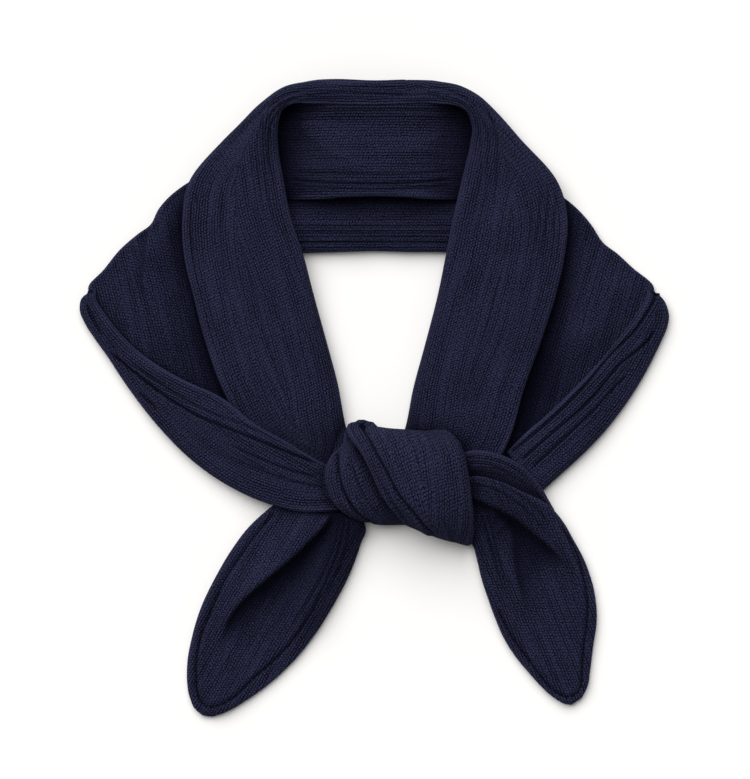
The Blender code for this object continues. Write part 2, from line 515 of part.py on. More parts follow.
def laid_on(outer, inner, trees):
    """Raises both surfaces where the pieces below would reach through them, edges as a whole.

    Cloth that would touch none of them comes down until it does, but not into the surface.
    """
    if not trees:
        return
    lowest = np.minimum(outer[:, :, 2], inner[:, :, 2])
    lift = np.zeros(lowest.shape)
    for index in np.ndindex(lift.shape):
        below = max(height_below(trees, *surface[index][:2]) for surface in (outer, inner))
        lift[index] = below + LAID_GAP - lowest[index]
    lift = np.maximum(lift, np.maximum(min(0.0, lift.max()), -np.maximum(lowest, 0.0)))
    edge = len(ROLL_ANGLES)
    lift[:, :edge] = lift[:, :edge].max(axis=1, keepdims=True)
    lift[:, -edge:] = lift[:, -edge:].max(axis=1, keepdims=True)
    lift = spread(lift, 2)
    outer[:, :, 2] += lift
    inner[:, :, 2] += lift


def drawn_in(table, start, end):
    """The sections, with the first or last one drawn in by half a seam."""
    rows = np.array(table, dtype=float)
    for at, other, meets in ((0, 1, start), (-1, -2, end)):
        if meets:
            for edge in (A, B):
                step = rows[other, edge] - rows[at, edge]
                rows[at, edge] += step / np.hypot(*step) * SEAM / 2
    return rows


def stretch(name, table, divisions, below=(), steps=1, start=False, end=False, square=False):
    """One stretch of cloth as a closed wall, laid on the stretches below it."""
    trees = [surface_of(piece) for piece in below]
    sections = between(drawn_in(table, start, end), steps)
    edges_raised(sections, trees)
    outer, inner = surfaces(name, sections, divisions)
    if square:
        outer, inner = squared(outer, sections), squared(inner, sections)
    laid_on(outer, inner, trees)
    return body(name, outer, inner)


def hidden(name, table, above, steps):
    """The hidden layers: flat underneath, and up to just under the cloth over them."""
    trees = [surface_of(piece) for piece in above]
    sections = between(table, steps)
    feel = [(0.0, 0.0)] + [
        (CORE_FEEL * np.cos(turn), CORE_FEEL * np.sin(turn)) for turn in np.radians(range(0, 360, 45))
    ]
    top = np.zeros((len(sections), CORE_COLUMNS, 3))
    for i, section in enumerate(sections):
        for j, q in enumerate(np.linspace(0, 1, CORE_COLUMNS)):
            x, y = section[A] + (section[B] - section[A]) * q
            hits = [
                tree.ray_cast(Vector((x + dx, y + dy, -1.0)), Vector((0, 0, 1)))[0]
                for dx, dy in feel
                for tree in trees
            ]
            heights = [hit.z for hit in hits if hit is not None]
            top[i, j] = (x, y, max(CORE_LOW, min(heights, default=CORE_LOW) - CORE_GAP))
    around = np.pad(top[:, :, 2], 1, mode="edge")
    rows, columns = top.shape[:2]
    top[:, :, 2] = np.min(
        [around[i : i + rows, j : j + columns] for i in range(3) for j in range(3)], axis=0
    )
    edge = np.ones(top.shape[:2], dtype=bool)
    edge[1:-1, 1:-1] = False
    top[edge, 2] = np.maximum(CORE_LOW, 0.6 * top[edge, 2])
    under = top.copy()
    under[:, :, 2] = 0.0
    return body(name, top, under)


def main():
    for piece in list(bpy.data.objects):
        bpy.data.objects.remove(piece)
    back_layer = stretch("back_layer", BACK_LAYER, 4)
    wing_left = stretch("wing_left", WING_LEFT, 10)
    wing_right = stretch("wing_right", WING_RIGHT, 10)
    tail_left = stretch("tail_left", TAIL_LEFT, 10)
    hem_right = stretch("hem_band_right", HEM_BAND_RIGHT, 4, [wing_right], 2)
    inner = stretch("back_neck_inner", BACK_NECK_INNER, 6, [back_layer])
    roll = stretch("neck_roll", NECK_ROLL, 4, [inner], 2, start=True, end=True)
    below = [back_layer, wing_left, inner]
    band_left = stretch("front_band_left", FRONT_BAND_LEFT, 6, below, 2, end=True)
    below = [back_layer, wing_right, inner, hem_right]
    band_right = stretch("front_band_right", FRONT_BAND_RIGHT, 6, below, 2, end=True)
    hem_left = stretch("hem_band_left", HEM_BAND_LEFT, 4, [wing_left, band_left, tail_left], 2)
    lobe = stretch("tail_right_lobe", TAIL_RIGHT_LOBE, 4, [band_right, hem_right])
    tail_right = stretch("tail_right", TAIL_RIGHT, 10, [band_right, hem_right, lobe])
    turn = stretch("knot_turn", KNOT_TURN, 6, [band_left, hem_left, tail_left], 2, square=True)
    under_knot = [band_left, band_right, hem_left, tail_left, tail_right, lobe, turn]
    wrap = stretch("knot_wrap", KNOT_WRAP, 6, under_knot, 2, square=True)

    hidden("hidden_left", HIDDEN_LEFT, [wing_left, band_left, hem_left], 2)
    hidden("hidden_right", HIDDEN_RIGHT, [wing_right, band_right, hem_right], 2)
    hidden("hidden_back", HIDDEN_BACK, [inner, roll], 2)
    hidden("knot_core", KNOT_CORE, under_knot + [wrap], 3)


main()
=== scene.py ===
"""Knitted triangle scarf, tied in front and laid flat on a pale surface.

The tables are in millimetres: +Z is up, +Y runs from the knot to the back of the neck and +X is
to the right. Each stretch of cloth is a sheet through sections. A section is a row of its table:
the cloth's two edges in plan (a and b), the height of its top beside each edge and of its
underside there, and the height of its crown between them.
"""

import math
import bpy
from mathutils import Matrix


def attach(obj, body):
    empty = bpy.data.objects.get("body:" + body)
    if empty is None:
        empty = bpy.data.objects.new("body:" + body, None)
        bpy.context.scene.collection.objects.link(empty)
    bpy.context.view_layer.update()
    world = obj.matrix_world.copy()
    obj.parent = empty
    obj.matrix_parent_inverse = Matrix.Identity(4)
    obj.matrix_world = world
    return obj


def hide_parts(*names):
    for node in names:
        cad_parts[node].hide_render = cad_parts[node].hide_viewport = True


bl_info = {
    "name": "Knitted triangle scarf",
    "version": (1, 0, 0),
    "blender": (4, 5, 0),
    "location": "3D View > Sidebar > Scarf",
    "description": "Lays folded knit over the scarf's solids and puts it in a soft studio",
    "category": "Object",
}

import bmesh
import bpy
import numpy as np
from mathutils import Matrix, Vector
from mathutils.bvhtree import BVHTree

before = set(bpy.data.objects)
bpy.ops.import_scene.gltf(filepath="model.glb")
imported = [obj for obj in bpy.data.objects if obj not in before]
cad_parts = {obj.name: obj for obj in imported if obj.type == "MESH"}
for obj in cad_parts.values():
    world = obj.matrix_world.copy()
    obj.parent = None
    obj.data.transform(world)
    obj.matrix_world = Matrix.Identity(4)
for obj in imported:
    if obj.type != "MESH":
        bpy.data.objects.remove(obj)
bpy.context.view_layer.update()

MM = 0.001
FAR_UP = 200.0
GAP = 0.3  # under a stretch that lies on another
ROUND_STEPS = 25  # points round a rolled edge
OPEN_REACH = 13.0  # how far from an edge its stitches are stretched open; a highlight is painted along rolled edges within it
FAR_SIDE = 0.8  # how soon the shade painted in a fold ends on its bright side

# The knit: how far the yarn wanders across and along its columns, how far the rows of a column
# are shifted from those of the next, and how much its stitches slant
WANDER_ACROSS, WANDER_ALONG = 0.0013, 0.0022
SHIFT = 0.37
SLANT = 0.9

# What the camera covers from top to bottom, and the point of the scarf under it
VIEW_PIXELS, PIXEL = 779, 0.544
VIEW_CENTRE = (0.0005, 0.0054)
SENSOR = 36.0

# Section columns: a_x, a_y, b_x, b_y, a_top, a_under, crown, b_top, b_under
A, B = slice(0, 2), slice(2, 4)
A_TOP, A_UNDER, CROWN, B_TOP, B_UNDER = range(4, 9)

# The folded band from the knot, up the left front, along the back of the neck and down the right:
# a at the neck, b outside
COLLAR = (
    (-13.0, -41.0, -32.0, -43.0, 5.0, 0.8, 5.5, 6.0, 3.4),
    (-14.0, -33.0, -40.0, -33.0, 6.0, 0.8, 6.0, 6.0, 3.4),
    (-13.0, -23.0, -56.0, -24.0, 7.5, 0.4, 8.5, 7.5, 4.0),
    (-15.6, -13.4, -69.5, -16.0, 10.0, 0.0, 11.0, 8.0, 4.5),
    (-19.6, 8.1, -81.5, 4.0, 13.0, 0.0, 14.0, 12.0, 7.5),
    (-25.5, 30.5, -91.0, 29.5, 13.5, 0.0, 15.5, 13.0, 7.5),
    (-32.5, 56.0, -98.0, 56.0, 14.0, 0.0, 15.5, 13.5, 8.0),
    (-38.5, 79.0, -103.0, 78.0, 14.5, 8.0, 16.0, 13.5, 8.0),
    (-45.0, 98.5, -104.0, 97.5, 15.5, 10.0, 16.5, 13.5, 8.0),
    (-49.0, 119.0, -100.0, 118.8, 16.0, 10.0, 16.5, 13.0, 7.0),
    (-52.0, 138.5, -82.3, 140.4, 17.0, 9.0, 17.5, 12.0, 0.0),
    (-52.0, 148.0, -73.0, 149.5, 18.0, 9.5, 18.0, 13.0, 0.0),
    (-49.5, 156.5, -62.5, 160.0, 18.5, 10.5, 18.5, 15.0, 0.0),
    (-43.5, 160.0, -50.0, 169.0, 18.3, 16.0, 19.5, 17.0, 0.0),
    (-33.5, 160.0, -36.0, 172.3, 17.8, 17.0, 20.0, 17.5, 0.0),
    (0.0, 159.5, -0.0, 172.6, 17.8, 17.0, 20.0, 17.5, 0.0),
    (34.5, 160.0, 35.0, 172.2, 17.8, 17.0, 20.0, 17.5, 0.0),
    (44.0, 159.0, 47.1, 169.9, 18.3, 16.0, 19.5, 17.0, 0.0),
    (50.0, 155.5, 56.5, 165.0, 18.5, 12.0, 18.5, 16.5, 0.0),
    (53.0, 147.5, 66.5, 156.0, 18.0, 9.5, 18.0, 13.0, 0.0),
    (52.0, 138.5, 79.0, 142.0, 17.0, 9.0, 17.5, 12.0, 0.0),
    (47.5, 119.0, 98.8, 119.3, 16.0, 10.0, 16.5, 13.0, 7.0),
    (42.5, 97.5, 105.0, 97.5, 15.5, 10.0, 16.5, 13.5, 8.0),
    (39.0, 79.0, 103.5, 78.5, 14.5, 8.0, 16.0, 13.5, 8.0),
    (34.3, 55.7, 98.5, 56.0, 14.0, 0.0, 15.5, 13.5, 8.0),
    (27.5, 29.4, 91.0, 32.5, 13.5, 0.0, 15.5, 13.0, 7.5),
    (21.0, 5.0, 81.0, 4.5, 13.0, 0.0, 14.0, 12.5, 7.5),
    (17.0, -15.0, 73.5, -21.0, 10.0, 0.0, 11.5, 12.5, 9.0),
    (14.5, -23.0, 69.5, -30.0, 8.0, 0.4, 8.5, 11.5, 9.0),
    (17.0, -33.0, 66.0, -36.0, 7.0, 0.8, 7.5, 8.0, 4.0),
    (19.0, -41.0, 62.0, -44.0, 6.0, 0.8, 6.5, 6.0, 2.0),
)
# The inner face of the back, left to right: a along the top, b its lower fold
BACK_INNER = (
    (-60.0, 152.0, -57.0, 111.0, 3.0, 0.5, 2.6, 3.5, 0.8),
    (-54.5, 157.0, -49.0, 109.0, 3.2, 0.6, 2.6, 4.0, 1.4),
    (-49.0, 161.5, -44.5, 108.5, 3.6, 1.0, 2.6, 5.0, 2.4),
    (-41.0, 164.0, -38.5, 108.5, 6.5, 3.9, 3.2, 7.5, 4.5),
    (-30.0, 161.5, -29.0, 108.5, 14.0, 11.4, 11.0, 13.0, 9.0),
    (-15.0, 161.3, -15.0, 109.5, 17.2, 14.6, 16.0, 16.2, 11.5),
    (0.0, 161.0, 0.0, 110.0, 17.4, 14.8, 16.6, 16.5, 12.0),
    (16.0, 161.3, 16.0, 109.5, 17.4, 14.8, 16.2, 16.2, 11.5),
    (31.0, 161.5, 30.0, 108.5, 16.0, 13.4, 12.5, 14.2, 9.5),
    (41.0, 163.5, 39.5, 108.5, 9.5, 6.9, 5.5, 9.5, 6.0),
    (49.5, 160.5, 45.0, 108.5, 4.5, 1.9, 3.0, 6.0, 3.0),
    (55.5, 156.0, 49.5, 109.0, 3.4, 0.8, 2.6, 4.0, 1.4),
    (60.0, 151.0, 57.0, 111.0, 3.0, 0.5, 2.6, 3.5, 0.8),
)
# The lower layer of the back, left to right: a hidden under the inner face, b the hem
BACK_LAYER = (
    (-56.0, 116.0, -54.0, 79.5, 2.6, 0.4, 3.2, 4.5, 0.0),
    (-48.0, 116.0, -47.0, 79.5, 2.8, 0.4, 4.2, 6.5, 0.0),
    (-37.5, 116.0, -38.5, 79.5, 2.8, 0.4, 5.0, 7.0, 0.0),
    (-18.5, 116.0, -18.5, 80.0, 2.8, 0.4, 5.2, 7.5, 0.0),
    (0.0, 116.0, 0.0, 80.5, 2.8, 0.4, 5.2, 7.5, 0.0),
    (19.5, 116.0, 19.5, 80.0, 2.8, 0.4, 5.2, 7.5, 0.0),
    (39.5, 116.0, 39.5, 80.0, 2.8, 0.4, 5.0, 7.0, 0.0),
    (49.5, 116.0, 49.0, 79.5, 2.8, 0.4, 4.2, 6.5, 0.0),
    (57.0, 116.0, 56.0, 79.5, 2.6, 0.4, 3.2, 4.5, 0.0),
)
# The wings, from the neck round the outer corner to the knot: a outside, b under the band
WING_LEFT = (
    (-96.0, 121.0, -87.0, 118.0, 3.0, 0.4, 3.0, 3.0, 0.4),
    (-104.2, 115.9, -92.0, 113.5, 4.8, 0.0, 4.8, 4.2, 1.6),
    (-111.0, 110.5, -95.0, 108.5, 6.0, 0.0, 7.5, 5.6, 3.0),
    (-117.3, 103.2, -96.5, 101.5, 6.5, 0.0, 9.0, 6.8, 4.2),
    (-121.5, 95.0, -96.5, 94.5, 7.0, 0.0, 9.5, 6.8, 4.2),
    (-128.2, 90.1, -95.5, 87.0, 6.0, 0.0, 9.0, 6.8, 4.2),
    (-138.5, 81.0, -94.5, 78.0, 6.5, 0.0, 8.5, 6.8, 4.2),
    (-147.0, 70.5, -93.0, 69.5, 5.0, 0.0, 8.0, 6.5, 3.9),
    (-155.4, 61.2, -91.0, 61.0, 3.4, 0.0, 8.0, 6.0, 3.4),
    (-150.5, 51.0, -88.0, 51.5, 4.2, 1.6, 7.5, 5.5, 2.9),
    (-141.5, 38.0, -84.0, 39.0, 4.2, 1.6, 7.0, 5.0, 2.4),
    (-124.5, 20.0, -78.0, 24.0, 4.4, 1.8, 6.0, 5.0, 2.4),
    (-101.0, 5.5, -71.5, 8.0, 4.2, 1.6, 4.5, 4.0, 1.4),
    (-75.0, -10.0, -64.0, -7.0, 3.6, 1.0, 3.6, 3.6, 1.0),
    (-60.0, -22.0, -48.0, -18.0, 3.4, 0.8, 3.4, 3.4, 0.8),
)
WING_RIGHT = (
    (97.0, 114.0, 88.0, 113.0, 3.0, 0.4, 3.0, 3.0, 0.4),
    (103.5, 109.5, 93.5, 108.0, 4.8, 0.0, 4.8, 4.2, 1.6),
    (110.8, 103.3, 97.0, 102.5, 6.0, 0.0, 7.0, 5.6, 3.0),
    (118.0, 95.0, 97.5, 95.5, 6.5, 0.0, 8.5, 6.8, 4.2),
    (124.4, 85.3, 97.0, 88.0, 6.5, 0.0, 8.5, 6.8, 4.2),
    (132.4, 79.1, 95.0, 78.0, 6.5, 0.0, 8.5, 6.8, 4.2),
    (140.5, 71.6, 94.0, 71.5, 5.0, 0.0, 8.5, 6.5, 3.9),
    (151.8, 61.8, 92.0, 62.0, 3.4, 0.0, 8.5, 6.0, 3.4),
    (146.5, 49.0, 88.5, 47.5, 4.2, 1.6, 8.0, 5.0, 2.4),
    (138.0, 35.5, 85.5, 35.5, 4.2, 1.6, 7.5, 4.5, 1.9),
    (119.5, 13.5, 81.0, 20.5, 4.4, 1.8, 5.0, 4.0, 1.4),
    (95.0, -11.0, 76.5, 4.0, 4.2, 1.6, 3.8, 3.6, 1.0),
    (80.5, -27.5, 68.0, -12.0, 3.6, 1.0, 3.6, 3.6, 1.0),
    (70.0, -42.0, 55.0, -24.0, 3.2, 0.6, 3.2, 3.2, 0.6),
)
# The ribbed hem bands, from the outer corner to the knot: a inside, b the scarf's edge
HEM_LEFT = (
    (-151.0, 60.5, -154.2, 58.6, 5.5, 3.2, 5.5, 5.0, 0.5),
    (-151.0, 57.5, -158.8, 55.0, 7.0, 5.2, 7.0, 6.0, 0.0),
    (-150.5, 54.0, -160.0, 49.0, 7.2, 5.8, 7.5, 6.0, 0.0),
    (-147.5, 49.0, -157.1, 41.2, 7.2, 5.8, 7.5, 6.0, 0.0),
    (-142.5, 42.0, -152.6, 34.1, 7.2, 5.8, 7.5, 6.0, 0.0),
    (-135.0, 33.0, -145.1, 23.6, 7.5, 5.8, 8.0, 6.5, 0.0),
    (-123.5, 23.0, -135.5, 9.0, 8.5, 6.3, 9.0, 7.0, 0.0),
    (-105.0, 11.5, -120.0, -11.5, 10.5, 7.5, 10.5, 7.5, 0.0),
    (-82.5, 1.0, -101.4, -31.0, 14.0, 9.5, 13.0, 8.0, 0.0),
    (-64.5, -13.0, -82.9, -44.7, 15.0, 11.0, 14.0, 9.0, 0.0),
    (-45.5, -24.0, -60.8, -55.4, 14.5, 10.5, 14.5, 12.0, 5.5),
    (-28.5, -34.0, -38.0, -61.0, 12.5, 8.5, 13.0, 13.0, 8.0),
    (-16.0, -39.5, -19.5, -60.5, 9.5, 6.9, 9.5, 10.0, 7.4),
)
HEM_RIGHT = (
    (148.0, 60.5, 151.8, 58.8, 5.5, 3.2, 5.5, 5.0, 0.5),
    (148.0, 57.5, 157.0, 54.5, 7.0, 5.2, 7.0, 6.0, 0.0),
    (146.5, 53.5, 160.0, 47.5, 7.2, 5.8, 7.5, 6.0, 0.0),
    (142.5, 47.0, 159.5, 40.0, 7.2, 5.8, 7.5, 6.0, 0.0),
    (137.5, 39.5, 155.5, 30.5, 7.2, 5.8, 7.5, 6.0, 0.0),
    (129.0, 28.5, 148.1, 15.6, 7.5, 5.8, 8.0, 6.5, 0.0),
    (118.5, 16.5, 138.5, -0.1, 7.5, 5.8, 8.5, 6.5, 0.0),
    (106.5, 4.0, 125.4, -17.3, 7.5, 5.8, 9.0, 7.0, 0.0),
    (94.0, -8.0, 112.3, -30.9, 7.5, 5.8, 9.0, 7.5, 0.0),
    (82.5, -18.0, 100.3, -41.8, 7.2, 5.3, 8.5, 7.5, 0.0),
    (72.0, -28.5, 90.0, -51.0, 6.8, 4.9, 7.8, 7.5, 0.0),
)
# The two ends, from under the knot to the tip: a the left edge, b the right edge
TAIL_LEFT = (
    (-45.5, -50.5, -10.0, -58.5, 5.0, 2.4, 6.0, 6.5, 3.9),
    (-55.0, -57.5, -4.5, -69.0, 5.5, 0.0, 7.0, 8.5, 2.0),
    (-65.9, -67.0, -7.0, -78.0, 5.0, 0.0, 6.0, 7.5, 0.0),
    (-77.0, -81.0, -13.5, -95.5, 5.0, 0.0, 5.5, 6.5, 0.0),
    (-86.6, -97.2, -22.5, -112.5, 5.0, 0.0, 5.5, 6.0, 0.0),
    (-94.5, -114.0, -33.0, -129.0, 5.0, 0.0, 5.0, 5.5, 0.0),
    (-99.0, -129.1, -44.5, -143.0, 5.0, 0.0, 5.0, 5.0, 0.0),
    (-101.5, -143.0, -57.5, -155.0, 5.0, 0.0, 4.5, 5.0, 0.0),
    (-101.5, -155.0, -69.2, -163.4, 5.0, 0.0, 4.5, 5.0, 0.0),
    (-100.0, -162.5, -78.1, -168.8, 5.0, 0.0, 4.5, 5.0, 0.0),
    (-96.9, -168.8, -84.5, -171.5, 4.2, 0.3, 4.2, 4.2, 0.3),
    (-93.3, -171.8, -88.0, -172.5, 3.2, 0.9, 3.2, 3.2, 0.9),
)
TAIL_RIGHT = (
    (49.0, -73.5, 47.5, -42.5, 8.0, 4.0, 8.0, 13.0, 10.4),
    (53.5, -79.5, 56.5, -41.5, 6.0, 0.0, 6.0, 14.0, 11.4),
    (55.5, -85.5, 68.5, -44.5, 6.0, 0.0, 5.0, 15.0, 12.4),
    (58.3, -97.2, 80.5, -50.0, 5.5, 0.0, 4.5, 14.5, 11.5),
    (62.0, -108.5, 92.0, -55.5, 5.5, 0.0, 4.5, 12.5, 8.5),
    (66.0, -119.5, 101.0, -64.0, 5.0, 0.0, 4.5, 9.5, 0.5),
    (70.0, -128.8, 108.5, -76.5, 5.0, 0.0, 4.5, 7.0, 0.0),
    (76.1, -138.8, 115.5, -90.5, 5.0, 0.0, 4.5, 6.0, 0.0),
    (83.5, -147.9, 120.0, -105.9, 5.0, 0.0, 4.5, 5.5, 0.0),
    (90.4, -155.5, 121.0, -121.0, 5.0, 0.0, 4.5, 5.0, 0.0),
    (95.5, -160.4, 119.0, -135.0, 5.0, 0.0, 4.5, 5.0, 0.0),
    (100.0, -163.6, 117.5, -147.0, 5.0, 0.0, 4.5, 5.0, 0.0),
    (103.7, -165.5, 116.0, -156.0, 4.6, 0.2, 4.4, 4.6, 0.2),
    (107.0, -166.0, 113.0, -162.0, 3.4, 0.9, 3.4, 3.4, 0.9),
)
# The fold of the right end beside the knot: a its outer edge, b under the right end
TAIL_LOBE = (
    (47.0, -29.0, 47.5, -43.0, 13.5, 11.0, 14.0, 11.0, 8.4),
    (54.0, -27.5, 55.5, -44.0, 16.0, 10.5, 16.0, 11.0, 8.4),
    (62.0, -28.0, 64.0, -45.5, 16.5, 11.5, 16.0, 11.0, 8.4),
    (70.5, -30.5, 72.0, -48.0, 16.0, 10.5, 14.5, 10.0, 7.4),
    (79.0, -35.0, 79.0, -51.0, 15.0, 9.5, 13.0, 9.0, 6.4),
    (85.5, -41.0, 85.0, -53.5, 13.5, 9.0, 11.5, 8.0, 5.4),
    (91.0, -48.0, 89.5, -56.0, 11.5, 7.0, 9.5, 7.5, 4.9),
    (94.5, -54.0, 92.5, -58.5, 8.0, 1.0, 7.5, 6.5, 3.9),
    (98.0, -60.0, 95.5, -62.0, 4.5, 0.6, 4.4, 4.5, 1.6),
)
# The knot, from its top edge down to its lower edge: a on the left, b on the right
KNOT_TURN = (
    (-9.5, -12.2, -4.5, -12.0, 7.0, 4.4, 7.0, 7.0, 4.4),
    (-13.0, -13.6, -0.5, -13.0, 9.0, 6.0, 10.0, 9.0, 6.0),
    (-15.5, -16.8, 2.5, -16.5, 11.0, 7.5, 12.0, 11.5, 8.5),
    (-17.0, -24.0, 0.0, -22.5, 13.5, 9.0, 15.5, 14.0, 11.0),
    (-24.5, -32.5, -3.0, -31.5, 18.0, 11.0, 20.5, 17.5, 14.5),
    (-26.5, -39.5, 1.0, -38.5, 20.5, 9.5, 24.0, 20.0, 17.0),
    (-25.5, -48.0, 6.0, -49.0, 20.5, 9.0, 24.5, 20.5, 17.5),
    (-22.0, -55.5, 11.5, -58.0, 19.0, 9.0, 22.5, 18.5, 15.5),
    (-14.0, -61.5, 16.0, -64.0, 14.5, 8.0, 17.0, 13.5, 10.5),
    (-4.5, -65.5, 20.0, -67.0, 9.0, 6.0, 9.5, 7.5, 4.5),
    (4.0, -66.5, 21.0, -67.5, 3.5, 0.9, 3.5, 3.5, 0.9),
)
KNOT_WRAP = (
    (-9.0, -16.0, 35.0, -20.8, 6.0, 3.4, 10.5, 13.0, 10.4),
    (-13.0, -13.4, 38.5, -17.8, 10.5, 7.0, 12.5, 14.5, 11.5),
    (-15.0, -16.2, 45.0, -22.3, 18.0, 12.5, 20.5, 19.0, 14.5),
    (-13.0, -20.5, 47.5, -26.5, 24.5, 17.5, 28.0, 24.5, 16.0),
    (-8.5, -26.5, 49.5, -32.5, 29.0, 20.5, 33.0, 29.0, 16.5),
    (-2.0, -39.0, 52.0, -47.5, 31.5, 23.5, 36.5, 31.0, 17.0),
    (4.0, -51.5, 53.5, -59.5, 31.0, 23.0, 35.5, 29.5, 16.0),
    (11.0, -60.0, 54.0, -68.0, 26.5, 19.5, 29.5, 24.0, 14.0),
    (17.5, -66.5, 53.5, -74.5, 18.5, 14.0, 20.0, 17.0, 11.5),
    (24.0, -69.0, 52.0, -78.0, 10.0, 7.0, 10.5, 10.5, 7.0),
    (25.0, -68.5, 49.0, -76.5, 3.5, 0.9, 3.5, 3.5, 0.9),
)

# Folds: line in plan, height, width of the steep side, width of the gentle side, fade in, fade out.
# The cloth is high on the left of the line.
FOLDS = {
    "wing_left": (
        (((-122.0, 96.0), (-124.5, 78.5), (-123.0, 60.5)), 4.5, 2.2, 14.0, 0.0, 22.0),
    ),
    "tail_left": (
        (
            (
                (-85.0, -139.0), (-82.5, -130.0), (-78.5, -120.0), (-71.5, -110.5),
                (-56.5, -97.0), (-41.5, -84.5), (-34.5, -77.5), (-28.0, -71.0), (-21.5, -61.0),
            ),
            9.0, 2.8, 18.0, 46.0, 12.0,
        ),
    ),
    "tail_right": (
        (
            (
                (47.0, -52.5), (60.5, -57.5), (68.5, -61.0), (76.5, -65.5), (85.0, -72.5),
                (93.0, -79.0), (101.0, -87.5), (106.0, -96.0),
            ),
            8.0, 2.8, 13.0, 14.0, 26.0,
        ),
        (
            ((86.0, -125.0), (82.0, -112.0), (78.5, -98.0), (76.5, -84.6), (75.0, -72.0), (68.0, -63.0)),
            7.0, 5.0, 14.0, 30.0, 6.0,
        ),
    ),
}
# Ridges, or troughs below 0: line in plan, height, width, fade in, fade out
RIDGES = {
    "wing_left": (
        (
            (
                (-99.0, 115.0), (-104.0, 107.0), (-106.0, 97.5), (-105.0, 78.0), (-100.0, 56.0),
                (-93.0, 29.5), (-83.5, 4.0), (-72.0, -14.0),
            ),
            -4.8, 7.0, 34.0, 2.0,
        ),
        (((-108.0, 62.0), (-103.0, 42.0), (-95.0, 20.0), (-84.0, 0.0)), -3.0, 11.0, 20.0, 6.0),
        (((-134.0, 79.0), (-133.0, 62.0), (-120.0, 40.0), (-103.0, 22.0)), 2.0, 9.0, 12.0, 20.0),
    ),
    "wing_right": (
        (
            (
                (102.0, 111.0), (106.0, 104.0), (107.0, 97.5), (105.5, 78.5), (100.5, 56.0),
                (93.0, 32.5), (83.0, 4.5), (74.0, -18.0),
            ),
            -4.8, 8.0, 34.0, 2.0,
        ),
        (((108.0, 62.0), (103.0, 42.0), (97.0, 22.0), (86.0, 0.0)), -3.5, 13.0, 20.0, 4.0),
        (((133.0, 68.0), (126.0, 50.0), (119.0, 34.0), (109.0, 17.0)), 2.0, 8.0, 12.0, 16.0),
    ),
    "back_inner": (
        (((-38.0, 148.0), (0.0, 148.5), (38.0, 148.0)), -0.9, 9.0, 8.0, 8.0),
    ),
    "tail_left": (
        (
            (
                (-24.5, -68.0), (-31.0, -77.5), (-41.0, -91.0), (-52.0, -104.0), (-66.0, -118.0),
                (-78.0, -134.0),
            ),
            -3.2, 6.5, 0.0, 24.0,
        ),
        (
            (
                (-13.0, -62.0), (-18.5, -78.0), (-24.0, -91.5), (-29.0, -105.0), (-38.0, -119.0),
                (-52.0, -133.0),
            ),
            5.5, 8.0, 4.0, 30.0,
        ),
    ),
    "tail_right": (
        (
            ((70.0, -66.0), (81.0, -74.0), (88.0, -86.0), (92.0, -98.0), (96.0, -113.0)),
            -2.6, 7.0, 4.0, 24.0,
        ),
        (
            ((54.0, -60.0), (60.0, -72.0), (64.5, -82.0), (69.0, -95.0), (73.0, -107.0)),
            2.0, 5.5, 6.0, 28.0,
        ),
    ),
}
